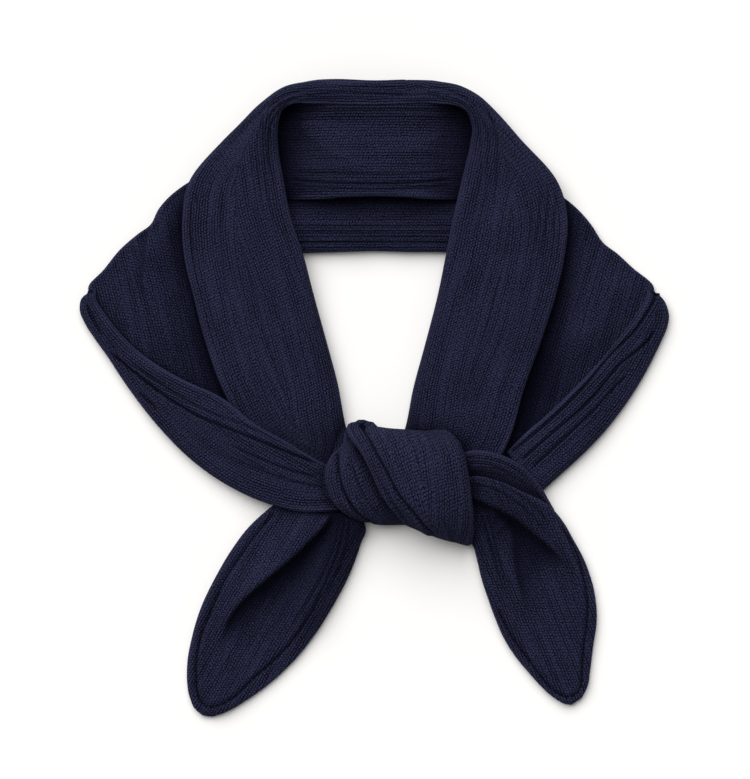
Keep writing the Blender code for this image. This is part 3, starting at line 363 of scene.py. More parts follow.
# Shade painted into the colour where cloth lies deep in a fold: line in plan, how dark, how far that
# reaches, fade in, fade out. The painted shade lies on the right of the line.
PAINTED_FOLD_SHADE = {
    "back_layer": (
        (((-60.0, 109.5), (0.0, 110.5), (60.0, 109.5)), 1.0, 5.0, 0.0, 0.0),
        (((-60.0, 109.5), (0.0, 110.5), (60.0, 109.5)), 0.3, 30.0, 0.0, 0.0),
    ),
    "back_inner": (
        (
            (
                (-46.0, 105.0), (-49.0, 119.0), (-52.0, 138.5), (-52.0, 148.0), (-49.5, 156.5),
                (-43.5, 160.0), (-33.0, 160.5),
            ),
            1.0, 21.0, 5.0, 14.0,
        ),
        (
            (
                (33.0, 160.5), (44.0, 159.0), (50.0, 155.5), (53.0, 147.5), (52.0, 138.5),
                (47.5, 119.0), (44.0, 105.0),
            ),
            0.95, 15.0, 12.0, 5.0,
        ),
        (((-45.0, 160.5), (0.0, 160.5), (45.0, 160.5)), 0.3, 18.0, 10.0, 10.0),
    ),
    "wing_left": (
        (
            (
                (-99.0, 118.0), (-103.0, 107.0), (-104.5, 97.5), (-103.0, 78.0), (-98.0, 56.0),
                (-91.0, 29.5), (-81.5, 4.0), (-69.5, -16.0),
            ),
            0.98, 7.0, 3.0, 0.0,
        ),
        (
            ((-101.0, 66.0), (-98.0, 56.0), (-91.0, 29.5), (-81.5, 4.0), (-69.5, -16.0)),
            0.65, 20.0, 40.0, 0.0,
        ),
        (((-122.5, 97.0), (-124.5, 78.5), (-125.5, 62.0), (-122.0, 48.0)), 0.6, 8.0, 4.0, 22.0),
        (
            (
                (-82.5, 1.0), (-105.0, 11.5), (-123.5, 23.0), (-135.0, 33.0), (-142.5, 42.0),
                (-147.5, 49.0), (-150.5, 54.0), (-152.0, 59.0),
            ),
            0.85, 1.5, 0.0, 6.0,
        ),
    ),
    "wing_right": (
        (
            (
                (72.0, -20.0), (81.5, 4.5), (91.5, 32.5), (98.5, 56.0), (103.5, 78.5),
                (105.0, 97.5), (103.5, 106.0), (102.0, 112.0),
            ),
            0.98, 9.5, 0.0, 3.0,
        ),
        (((72.0, -20.0), (81.5, 4.5), (91.5, 32.5), (98.5, 56.0)), 0.95, 30.0, 0.0, 50.0),
    ),
    "tail_left": (
        (
            (
                (-85.0, -139.0), (-82.5, -130.0), (-78.5, -120.0), (-71.5, -110.5),
                (-56.5, -97.0), (-41.5, -84.5), (-34.5, -77.5), (-28.0, -71.0), (-21.5, -61.0),
            ),
            1.0, 12.0, 24.0, 0.0,
        ),
        (
            (
                (-71.5, -110.5), (-56.5, -97.0), (-41.5, -84.5), (-34.5, -77.5), (-28.0, -71.0),
                (-21.5, -61.0),
            ),
            0.6, 24.0, 20.0, 0.0,
        ),
        (((-90.0, -170.0), (-102.0, -150.0), (-95.0, -110.0), (-60.0, -60.0)), 0.1, 400.0, 0.0, 0.0),
        (((-58.0, -49.0), (-45.0, -54.0), (-28.0, -60.0), (-8.0, -62.0)), 0.7, 4.0, 0.0, 0.0),
    ),
    "tail_right": (
        (
            (
                (47.0, -52.5), (60.5, -57.5), (68.5, -61.0), (76.5, -65.5), (85.0, -72.5),
                (93.0, -79.0), (101.0, -87.5), (106.0, -96.0),
            ),
            0.85, 2.0, 3.0, 30.0,
        ),
        (
            (
                (66.0, -60.0), (76.5, -65.5), (85.0, -72.5), (93.0, -79.0), (101.0, -87.5),
                (106.0, -96.0),
            ),
            0.95, 13.0, 3.0, 24.0,
        ),
        (
            ((86.0, -125.0), (82.0, -112.0), (78.5, -98.0), (76.5, -84.6), (75.0, -72.0), (68.0, -63.0)),
            0.7, 10.0, 35.0, 0.0,
        ),
        (((90.0, -60.0), (116.0, -110.0), (121.0, -140.0), (108.0, -168.0)), 0.13, 400.0, 0.0, 0.0),
        (
            ((53.5, -76.0), (54.0, -68.0), (53.5, -59.5), (52.0, -47.5), (49.5, -36.0)),
            0.7, 2.5, 0.0, 0.0,
        ),
    ),
    "tail_lobe": (
        (
            ((92.0, -56.0), (80.5, -50.0), (68.5, -44.5), (56.5, -41.5), (48.0, -41.5)),
            0.9, 1.6, 4.0, 0.0,
        ),
        (((52.0, -47.5), (49.5, -32.5), (46.5, -24.0)), 0.7, 2.5, 0.0, 0.0),
    ),
    "collar": (
        (
            (
                (50.0, -30.0), (44.0, -22.0), (25.0, -17.0), (4.0, -14.0), (-8.0, -10.5),
                (-16.0, -14.0), (-22.0, -26.0), (-27.0, -40.0),
            ),
            0.85, 5.5, 0.0, 0.0,
        ),
    ),
    "hem_left": (
        (((-24.0, -28.0), (-28.0, -40.0), (-27.0, -50.0), (-20.0, -60.0)), 0.7, 2.5, 0.0, 0.0),
    ),
    "knot_turn": (
        (
            (
                (-15.5, -15.0), (-13.0, -20.5), (-8.5, -26.5), (-2.0, -39.0), (4.0, -51.5),
                (11.0, -60.0), (17.5, -66.5),
            ),
            0.7, 2.5, 0.0, 0.0,
        ),
    ),
}
# Grooves between ribs: line in plan, depth, width, fade in, fade out. The depth also sets how dark a shade
# is painted along each groove.
GROOVES = {
    "collar": (
        (
            (
                (-53.0, 70.5), (-57.0, 89.5), (-61.5, 111.0), (-63.0, 131.5), (-63.5, 140.0),
                (-61.5, 147.0), (-59.0, 154.0), (-53.5, 161.0), (-45.5, 165.0), (-35.0, 168.0),
                (-16.0, 169.0), (14.0, 168.5), (27.5, 168.5), (37.5, 168.0), (47.0, 164.5),
                (53.5, 159.5), (58.0, 152.5), (61.0, 146.0), (62.0, 138.5), (61.5, 129.0),
                (61.0, 118.0), (59.0, 106.0), (56.5, 95.0), (51.0, 75.0),
            ),
            0.4, 0.7, 50.0, 50.0,
        ),
        (
            (
                (-61.0, 87.0), (-64.5, 111.0), (-66.0, 132.0), (-65.5, 145.5), (-64.0, 151.0),
                (-60.5, 156.0), (-55.0, 162.5), (-48.5, 167.5), (-37.5, 170.5), (-18.5, 171.0),
            ),
            0.15, 0.6, 50.0, 30.0,
        ),
        (
            (
                (-49.0, 70.5), (-54.0, 95.0), (-58.0, 114.0), (-59.5, 135.5), (-59.5, 144.0),
                (-59.0, 149.0), (-56.0, 154.0), (-51.0, 159.0), (-40.5, 165.0), (-24.0, 167.0),
                (14.0, 166.5), (27.5, 166.5), (37.5, 165.0), (44.5, 161.5), (51.0, 157.5),
                (55.0, 151.5), (57.0, 144.0), (58.0, 135.5), (58.0, 125.0), (57.0, 114.0),
                (53.5, 99.0), (48.5, 78.5),
            ),
            0.3, 0.7, 50.0, 40.0,
        ),
        (
            (
                (-54.0, 111.0), (-56.5, 127.5), (-57.0, 135.5), (-56.5, 145.5), (-55.0, 150.0),
                (-51.5, 155.0), (-45.5, 161.5), (-29.5, 165.0), (14.0, 164.5), (36.0, 163.5),
                (44.0, 159.5),
            ),
            0.6, 0.7, 25.0, 12.0,
        ),
        (
            (
                (56.0, 164.0), (63.0, 153.5), (66.5, 144.0), (67.0, 137.0), (66.5, 127.5),
                (66.0, 116.5), (63.0, 97.5),
            ),
            0.6, 0.7, 12.0, 30.0,
        ),
        (((85.0, 113.0), (85.5, 100.5), (84.5, 89.5), (81.5, 75.0)), 0.4, 0.6, 15.0, 20.0),
        (((89.0, 119.5), (90.0, 106.0), (88.0, 89.5), (86.0, 73.0)), 0.5, 0.6, 12.0, 20.0),
        (((93.5, 118.5), (94.5, 108.5), (93.0, 95.0), (88.0, 65.0)), 0.6, 0.7, 10.0, 25.0),
        (((97.5, 116.5), (98.5, 108.5), (97.5, 95.0), (95.5, 78.5)), 0.5, 0.6, 8.0, 20.0),
        (((-98.0, 111.0), (-99.5, 95.0), (-98.0, 78.5), (-95.5, 59.5)), 0.6, 0.7, 10.0, 25.0),
        (((-81.5, 119.5), (-83.0, 95.0), (-81.5, 70.5), (-78.5, 48.5)), 0.4, 0.6, 15.0, 25.0),
    ),
    "back_inner": (
        (
            ((-47.0, 120.0), (-35.0, 118.0), (-16.0, 117.0), (17.0, 117.0), (43.0, 119.5)),
            0.9, 0.8, 6.0, 6.0,
        ),
        (
            ((-47.0, 117.0), (-35.0, 115.5), (-16.0, 114.0), (25.0, 114.5), (44.0, 116.5)),
            0.5, 0.7, 6.0, 6.0,
        ),
        (((-47.0, 124.0), (-24.0, 122.5), (25.0, 122.5), (46.0, 124.5)), 0.5, 0.7, 10.0, 10.0),
        (((-48.5, 156.0), (-29.5, 156.5), (30.5, 156.5), (48.0, 155.5)), 0.4, 0.6, 10.0, 10.0),
        (((-48.5, 152.0), (-24.0, 152.5), (30.5, 152.5), (49.5, 152.0)), 0.3, 0.6, 10.0, 10.0),
    ),
    "back_layer": (
        (((-48.0, 85.0), (0.0, 85.3), (48.0, 85.0)), 0.9, 0.8, 4.0, 4.0),
        (((-48.0, 88.0), (0.0, 88.2), (48.0, 88.0)), 0.5, 0.7, 4.0, 4.0),
        (((-48.0, 90.5), (0.0, 90.4), (48.0, 90.5)), 0.6, 0.7, 4.0, 4.0),
        (((-48.0, 94.5), (0.0, 94.0), (48.0, 94.5)), 0.4, 0.7, 4.0, 4.0),
    ),
    "hem_left": (
        (
            (
                (-154.5, 63.0), (-152.0, 57.0), (-147.5, 49.0), (-142.5, 42.0), (-135.0, 33.0),
                (-123.5, 23.0), (-115.5, 17.5),
            ),
            0.6, 0.8, 2.0, 16.0,
        ),
        (((-156.5, 53.0), (-154.5, 48.0), (-151.0, 40.5), (-147.0, 33.5)), 1.0, 0.8, 4.0, 8.0),
        (
            (
                (-146.0, 27.5), (-138.0, 21.0), (-126.5, 11.5), (-111.0, 0.0), (-95.5, -9.0),
                (-72.0, -18.5), (-47.0, -28.5), (-30.5, -35.0),
            ),
            1.3, 0.9, 8.0, 4.0,
        ),
        (
            (
                (-135.5, 22.5), (-124.0, 14.0), (-109.0, 4.0), (-93.0, -5.0), (-70.0, -14.0),
                (-47.0, -24.5), (-30.5, -32.0),
            ),
            0.7, 0.7, 12.0, 4.0,
        ),
        (((-86.5, -21.0), (-70.0, -28.5), (-51.0, -36.5), (-30.5, -42.5)), 0.8, 0.8, 18.0, 3.0),
        (((-81.0, -30.0), (-64.5, -37.5), (-45.5, -44.0), (-26.5, -48.0)), 0.6, 0.8, 18.0, 3.0),
        (((-127.5, 4.0), (-122.0, -1.5), (-115.5, -7.5)), 1.0, 1.1, 4.0, 6.0),
    ),
    "hem_right": (
        (
            (
                (153.5, 59.0), (153.0, 56.5), (147.5, 46.0), (140.0, 35.5), (131.0, 27.0),
                (112.5, 5.5), (87.5, -18.0), (74.0, -29.0),
            ),
            1.3, 0.9, 3.0, 2.0,
        ),
        (
            ((153.0, 38.0), (149.0, 32.0), (135.0, 20.5), (116.5, -1.0), (94.0, -20.5), (80.0, -33.0)),
            1.3, 0.9, 4.0, 2.0,
        ),
        (
            ((139.5, 15.0), (131.0, 7.0), (118.5, -7.0), (101.0, -23.0), (86.5, -36.5)),
            1.0, 0.9, 8.0, 2.0,
        ),
        (((144.5, 47.5), (134.0, 33.5), (117.5, 15.0), (93.0, -10.0)), 0.5, 0.7, 8.0, 8.0),
    ),
    "knot_wrap": (
        (
            (
                (-9.0, -10.0), (-6.5, -14.0), (0.5, -27.5), (7.0, -40.0), (14.0, -53.0),
                (21.5, -62.0), (28.5, -70.0), (33.5, -74.5),
            ),
            1.6, 1.0, 1.0, 3.0,
        ),
        (
            ((-13.0, -13.5), (-11.0, -17.5), (-3.0, -33.0), (4.0, -45.5), (10.5, -56.5), (17.0, -65.5)),
            0.5, 0.8, 3.0, 3.0,
        ),
        (((33.0, -56.5), (39.5, -69.0), (43.0, -77.5)), 0.3, 0.8, 12.0, 2.0),
    ),
    "knot_turn": (
        (
            (
                (-20.0, -27.0), (-20.0, -30.0), (-19.5, -38.5), (-17.5, -47.5), (-13.0, -56.5),
                (-6.5, -64.0), (0.0, -67.5),
            ),
            1.6, 1.0, 2.0, 2.0,
        ),
        (
            ((-13.5, -27.0), (-12.0, -34.0), (-9.0, -44.0), (-4.0, -54.5), (4.0, -64.0)),
            0.5, 0.8, 4.0, 4.0,
        ),
    ),
    "tail_left": (
        (
            ((-18.5, -63.0), (-20.0, -73.5), (-25.0, -88.5), (-33.0, -104.5), (-51.0, -132.0)),
            0.8, 0.7, 2.0, 30.0,
        ),
        (
            ((-16.0, -63.0), (-17.5, -75.0), (-22.5, -90.5), (-30.5, -107.5), (-40.5, -122.0)),
            0.9, 0.7, 2.0, 25.0,
        ),
        (((-13.0, -64.0), (-14.5, -76.5), (-19.5, -93.0), (-28.5, -110.0)), 0.6, 0.7, 2.0, 20.0),
        (((-22.0, -65.5), (-24.0, -79.0), (-29.5, -93.0), (-36.0, -103.5)), 0.5, 0.7, 2.0, 15.0),
    ),
    "tail_right": (
        (((58.0, -60.5), (62.5, -76.5), (68.5, -98.0), (73.5, -109.0)), 0.9, 0.7, 4.0, 20.0),
        (((61.0, -61.0), (65.5, -76.5), (70.5, -95.5), (75.5, -107.0)), 0.6, 0.7, 4.0, 20.0),
        (
            ((52.0, -46.0), (63.0, -48.0), (73.0, -53.0), (82.5, -60.0), (101.0, -83.0)),
            0.5, 0.7, 4.0, 18.0,
        ),
        (
            ((53.5, -42.5), (66.0, -45.0), (76.5, -50.5), (87.5, -59.0), (98.5, -72.0)),
            0.4, 0.7, 4.0, 12.0,
        ),
    ),
    "tail_lobe": (
        (
            ((49.5, -31.5), (60.5, -32.0), (70.0, -34.5), (79.5, -40.0), (87.0, -47.0)),
            0.6, 0.8, 2.0, 8.0,
        ),
        (((50.0, -34.5), (60.5, -35.0), (69.5, -38.5), (77.0, -44.0)), 0.4, 0.8, 2.0, 8.0),
    ),
}
# The rows of topstitching on the two ends, in plan
STITCHES = {
    "tail_left": (
        (-55.0, -62.5), (-63.0, -72.0), (-71.5, -83.5), (-81.0, -98.0), (-89.0, -116.0),
        (-94.0, -129.0), (-96.5, -141.5), (-96.5, -152.5), (-95.5, -161.0), (-91.5, -167.0),
        (-85.5, -166.5), (-78.5, -163.5), (-66.0, -152.0), (-49.5, -137.0), (-37.0, -120.5),
        (-28.5, -106.0),
    ),
    "tail_right": (
        (102.5, -70.0), (106.5, -76.5), (110.0, -83.5), (113.5, -96.0), (116.0, -110.0),
        (115.5, -122.5), (114.0, -133.5), (113.0, -146.5), (112.5, -155.0), (110.5, -159.5),
        (106.0, -161.5), (98.0, -158.5), (91.5, -151.5), (83.8, -141.2), (75.0, -129.0),
        (68.0, -115.5),
    ),
}


class ScarfCloth(bpy.types.PropertyGroup):
    """Sizes of the knit."""

    thickness: bpy.props.FloatProperty(
        name="Thickness", description="Thickness of the knitted cloth", default=0.0023, unit="LENGTH"
    )
    wale: bpy.props.FloatProperty(
        name="Wale", description="Width of one column of stitches", default=0.0030, unit="LENGTH"
    )
    course: bpy.props.FloatProperty(
        name="Course", description="Height of one row of stitches", default=0.0016, unit="LENGTH"
    )
    across: bpy.props.FloatProperty(
        name="Detail across", description="Mesh spacing across the ribs", default=0.00062, unit="LENGTH"
    )
    along: bpy.props.FloatProperty(
        name="Detail along", description="Mesh spacing along the ribs", default=0.0015, unit="LENGTH"
    )
    uneven: bpy.props.FloatProperty(
        name="Unevenness", description="Height of the soft dents of worn cloth",
        default=0.0005, unit="LENGTH",
    )


class ScarfColours(bpy.types.PropertyGroup):
    """Colours of the scarf and the surface under it."""

    yarn: bpy.props.FloatVectorProperty(
        name="Yarn", description="Colour of the tops of the stitches", subtype="COLOR",
        default=(0.031, 0.0333, 0.0755),
    )
    # also the colour that the painted shade in grooves and folds darkens the cloth towards
    shade: bpy.props.FloatVectorProperty(
        name="Shade", description="Colour down between the stitches", subtype="COLOR",
        default=(0.0012, 0.0014, 0.006),
    )
    thread: bpy.props.FloatVectorProperty(
        name="Thread", description="Colour of the topstitching", subtype="COLOR",
        default=(0.002, 0.0022, 0.007),
    )
    floor: bpy.props.FloatVectorProperty(
        name="Surface", description="Colour of the surface under the scarf", subtype="COLOR",
        default=(0.9, 0.89, 0.87),
    )


class ScarfStudio(bpy.types.PropertyGroup):
    """Light and camera."""

    key: bpy.props.FloatProperty(
        name="Key light", description="Strength of the soft light from above the neck", default=3.5
    )
    softness: bpy.props.FloatProperty(
        name="Softness", description="How wide the key light is", default=math.radians(65), subtype="ANGLE"
    )
    fill: bpy.props.FloatProperty(
        name="Fill", description="Strength of the light from all round", default=0.29
    )
    distance: bpy.props.FloatProperty(
        name="Camera height", description="Height of the camera over the scarf", default=3.0, unit="LENGTH"
    )


# Cloth


def curve_through(points, parts=6):
    """The points of a smooth line through the ones given."""
    rows = np.array(points, dtype=float)
    reach = np.concatenate(([0.0], np.cumsum(np.hypot(*np.diff(rows[:, :2], axis=0).T))))
    return smooth_at(rows, reach, np.linspace(0, reach[-1], (len(rows) - 1) * parts + 1))


def smooth_at(rows, reach, places):
    """Rows on smooth curves through the ones given, at places along them."""
    slope = np.gradient(rows, reach, axis=0)
    k = np.clip(np.searchsorted(reach, places, side="right") - 1, 0, len(rows) - 2)
    gap = reach[k + 1] - reach[k]
    t = ((places - reach[k]) / gap)[:, None]
    gap = gap[:, None]
    return (
        rows[k] * (1 + 2 * t) * (1 - t) ** 2
        + slope[k] * gap * t * (1 - t) ** 2
        + rows[k + 1] * t * t * (3 - 2 * t)
        + slope[k + 1] * gap * t * t * (t - 1)
    )


def distance_along(points, x, y):
    """Distance to a line, positive on its left, how far along it that lies, and its length."""
    best = np.full(x.shape, np.inf)
    side = np.zeros(x.shape)
    along = np.zeros(x.shape)
    start = 0.0
    for (x0, y0), (x1, y1) in zip(points, points[1:]):
        dx, dy = x1 - x0, y1 - y0
        length = np.hypot(dx, dy)
        t = np.clip(((x - x0) * dx + (y - y0) * dy) / length**2, 0.0, 1.0)
        off = np.hypot(x - x0 - t * dx, y - y0 - t * dy)
        left = (dx * (y - y0) - dy * (x - x0)) / length
        same = np.abs(off - best) < 1e-6
        near = np.where(same, np.abs(left) > np.abs(side), off < best)
        side = np.where(near, left, side)
        along = np.where(near, start + t * length, along)
        best = np.where(near, off, best)
        start += length
    return best * np.sign(side), along, start


def eased(value, width):
    return 1.0 if width <= 0 else 0.5 - 0.5 * np.cos(np.pi * np.clip(value / width, 0.0, 1.0))


def relief(name, x, y):
    """Height that the folds and ridges of a stretch add at points in plan."""
    height = np.zeros(x.shape)
    for points, rise, steep, gentle, fade_in, fade_out in FOLDS.get(name, ()):
        off, along, length = distance_along(curve_through(points), x, y)
        shape = (0.5 + 0.5 * np.tanh(2.0 * off / steep)) * np.exp(-np.maximum(off, 0.0) / gentle)
        height += rise * shape * eased(along, fade_in) * eased(length - along, fade_out)
    for points, rise, width, fade_in, fade_out in RIDGES.get(name, ()):
        off, along, length = distance_along(curve_through(points), x, y)
        fade = eased(along, fade_in) * eased(length - along, fade_out)
        height += rise * np.exp(-((off / width) ** 2)) * fade
    return height


def ribbing(name, x, y):
    """Height of the grooves between ribs, with the ribs a little proud beside them, and painted shade in
    them.
    """
    height = np.zeros(x.shape)
    shade = np.zeros(x.shape)
    for points, depth, width, fade_in, fade_out in GROOVES.get(name, ()):
        off, along, length = distance_along(curve_through(points, 3), x, y)
        off = np.abs(off) / width
        fade = eased(along, fade_in) * eased(length - along, fade_out)
        height += depth * fade * (0.3 * np.exp(-((off - 2.0) ** 2)) - np.exp(-(off**2)))
        # shade painted along the groove, darker for a deeper one
        painted_dark = min(1.0, 0.2 + depth * 0.6) * np.exp(-((off * width / 0.75) ** 2))
        shade = np.maximum(shade, painted_dark * fade)
    if name in STITCHES:
        off = np.abs(distance_along(curve_through(STITCHES[name], 3), x, y)[0])
        height += 0.5 * np.exp(-(((off - 2.4) / 1.6) ** 2)) - 0.9 * np.exp(-((off / 0.9) ** 2))
        # shade painted along the topstitching
        shade = np.maximum(shade, 0.75 * np.exp(-((off / 0.7) ** 2)))
    return height, shade


def painted_darkness(name, x, y):
    """How dark a shade is painted on the cloth where it lies deep in a fold, from 0 to 1."""
    clear = np.ones(x.shape)
    for points, painted_dark, reach, fade_in, fade_out in PAINTED_FOLD_SHADE.get(name, ()):
        off, along, length = distance_along(curve_through(points), x, y)
        shape = np.exp(-np.maximum(-off, 0.0) / reach - (np.maximum(off, 0.0) / FAR_SIDE) ** 2)
        clear *= 1.0 - painted_dark * shape * eased(along, fade_in) * eased(length - along, fade_out)
    return 1.0 - clear


def dents(x, y):
    """Soft unevenness, from -1 to 1."""
    waves = (
        (0.11, 0.05, 0.3), (-0.07, 0.13, 1.7), (0.19, -0.16, 4.1), (0.04, 0.22, 2.6),
        (0.3, 0.21, 5.5),
    )
    return sum(np.sin(a * x + b * y + c) for a, b, c in waves) / len(waves)


def profile(name, section, count):
    """Evenly spaced points round edge a, over the top and round edge b of one section."""
    a, b = section[A], section[B]
    width = np.hypot(*(b - a))
    rounds = []
    for top, under in ((section[A_TOP], section[A_UNDER]), (section[B_TOP], section[B_UNDER])):
        angle = np.radians(np.linspace(-90, 90, ROUND_STEPS))
        radius = min((top - under) / 2, 0.45 * width)
        heights = (top + under) / 2 + np.sin(angle) * (top - under) / 2
        rounds.append((radius * (1 - np.cos(angle)), heights))
    q = np.linspace(0, 1, 60)[1:-1]
    radius_a, radius_b = rounds[0][0][0], rounds[1][0][0]
    bump = section[CROWN] - (section[A_TOP] + section[B_TOP]) / 2
    middle = section[A_TOP] + (section[B_TOP] - section[A_TOP]) * eased(q, 1.0)
    middle = middle + bump * np.sin(np.pi * q) ** 1.5
    from_a = np.concatenate(
        (rounds[0][0], radius_a + (width - radius_a - radius_b) * q, width - rounds[1][0][::-1])
    )
    height = np.concatenate((rounds[0][1], middle, rounds[1][1][::-1]))
    lift = np.sin(np.radians(np.linspace(-90, 90, ROUND_STEPS)))
    lift = np.concatenate((np.maximum(lift, 0), np.ones(len(q)), np.maximum(lift[::-1], 0)))
    edge = np.concatenate((-np.ones(ROUND_STEPS), np.zeros(len(q)), np.ones(ROUND_STEPS)))
    plan = a + (b - a) * (from_a / width)[:, None]
    height = height + lift * relief(name, plan[:, 0], plan[:, 1])
    run = np.concatenate(([0.0], np.cumsum(np.hypot(np.diff(from_a), np.diff(height)))))
    places = np.linspace(0, run[-1], count)
    half = ROUND_STEPS // 2
    data = np.column_stack((plan, height, run - run[half], lift, edge, run[-1 - half] - run))
    return np.column_stack([np.interp(places, run, column) for column in data.T])


def spread(lift, rounds):
    """A lift that reaches its full height where it has to, and tapers off around."""
    found = lift.copy()
    for _ in range(rounds):
        padded = np.pad(found, 1, mode="edge")
        mean = (padded[:-2, 1:-1] + padded[2:, 1:-1] + padded[1:-1, :-2] + padded[1:-1, 2:]) / 4
        found = np.maximum(lift, mean)
    return found


def facing_of(points):
    """Unit normals of a grid of points, upwards in its middle."""
    facing = np.cross(np.gradient(points, axis=0), np.gradient(points, axis=1))
    facing /= np.maximum(np.linalg.norm(facing, axis=2, keepdims=True), 1e-9)
    middle = points.shape[1] // 2
    return -facing if facing[:, middle, 2].mean() < 0 else facing


def thickness_of(points, sections, thickness):
    """How far in the inside of the cloth may lie, less where an edge or a section is thin."""
    width = np.hypot(*(sections[:, B] - sections[:, A]).T)
    limits = []
    for edge, top, under in ((A, A_TOP, A_UNDER), (B, B_TOP, B_UNDER)):
        away = np.hypot(*(points[:, :, 0:2] - sections[:, None, edge]).transpose(2, 0, 1))
        limits.append(0.42 * (sections[:, top] - sections[:, under])[:, None] + 0.3 * away)
    limits.append(np.full(limits[0].shape, thickness))
    limits.append(np.repeat(0.28 * width[:, None], points.shape[1], axis=1))
    return np.maximum(np.min(limits, axis=0), 0.05)


def surface_of(name):
    """The cloth's outside, in millimetres, to lay other cloth on."""
    piece = bpy.data.objects[f"{name}_cloth"]
    points = np.empty(len(piece.data.vertices) * 3)
    piece.data.vertices.foreach_get("co", points)
    return BVHTree.FromPolygons(
        (points.reshape(-1, 3) / MM).tolist(), [tuple(p.vertices) for p in piece.data.polygons]
    )


def squared(surface, sections):
    """The upright sections of a surface, each turned square to the way the cloth runs there."""
    a, b = sections[:, A], sections[:, B]
    width = np.hypot(*(b - a).T)
    across = (b - a) / width[:, None]
    onward = np.column_stack((across[:, 1], -across[:, 0]))
    run = np.gradient((a + b) / 2, axis=0)
    if (run * onward).sum() < 0:
        onward = -onward
    forward = (run * onward).sum(axis=1)
    rise = np.gradient(sections[:, CROWN])
    slope = np.hypot(forward, rise)
    outward = np.column_stack((-(rise / slope)[:, None] * onward, forward / slope))
    middle_a = (sections[:, A_TOP] + sections[:, A_UNDER])[:, None] / 2
    middle_b = (sections[:, B_TOP] + sections[:, B_UNDER])[:, None] / 2
    from_a = ((surface[:, :, 0:2] - a[:, None]) * across[:, None]).sum(axis=2) / width[:, None]
    middle = middle_a + (middle_b - middle_a) * from_a
    found = surface.copy()
    found[:, :, 2] = middle
    return found + outward[:, None] * (surface[:, :, 2] - middle)[:, :, None]


def height_below(trees, x, y):
    """Top of the pieces below a point in plan."""
    hits = [tree.ray_cast(Vector((x, y, FAR_UP)), Vector((0, 0, -1)))[0] for tree in trees]
    return max((hit.z for hit in hits if hit is not None), default=-FAR_UP)


def edges_raised(sections, trees):
    """The sections, with the edges that lie on a stretch below raised clear of it."""
    width = np.hypot(*(sections[:, B] - sections[:, A]).T)
    for at, to, top, under in ((A, B, A_TOP, A_UNDER), (B, A, B_TOP, B_UNDER)):
        lift = np.zeros((len(sections), 1))
        for k, section in enumerate(sections):
            footprint = min(section[top] - section[under], 0.9 * width[k]) / width[k]
            for q in np.linspace(0, footprint, 4):
                below = height_below(trees, *(section[at] + (section[to] - section[at]) * q))
                lift[k] = max(lift[k], below + GAP - section[under])
        thick = np.minimum(sections[:, top] - sections[:, under], 2.6)
        sections[:, under] += spread(lift, 40)[:, 0]
        sections[:, top] = np.maximum(sections[:, top], sections[:, under] + thick)


def laid_on(points, depth, rolled, trees):
    """How far each point has to rise for the cloth to lie on the pieces below, edges as a whole."""
    lift = np.zeros(points.shape[:2])
    lowest = points[:, :, 2] - depth
    for index in np.ndindex(lift.shape):
        lift[index] = max(0.0, height_below(trees, *points[index][:2]) + GAP - lowest[index])
    for row, edges in zip(lift, rolled):
        for edge in (edges < 0, edges > 0):
            row[edge] = row[edge].max(initial=0.0)
    return spread(lift, 24)


def straight_wales(direction):
    """Stitch columns that run straight in plan, whatever the edges do."""

    def places(points, from_a, from_b, reach):
        c, s = math.cos(math.radians(direction)), math.sin(math.radians(direction))
        x, y = points[:, :, 0], points[:, :, 1]
        return x * s - y * c, x * c + y * s

    return places


def edge_wales(points, from_a, from_b, reach):
    """Stitch columns that run beside the nearer edge; they meet half-way, a whole column apart."""
    wale = bpy.context.scene.scarf_cloth.wale / MM
    width = np.round(np.median(from_a + from_b) / wale) * wale
    u = np.where(from_a < from_b, from_a, width - from_b)
    return u, np.repeat(reach[:, None], points.shape[1], axis=1)


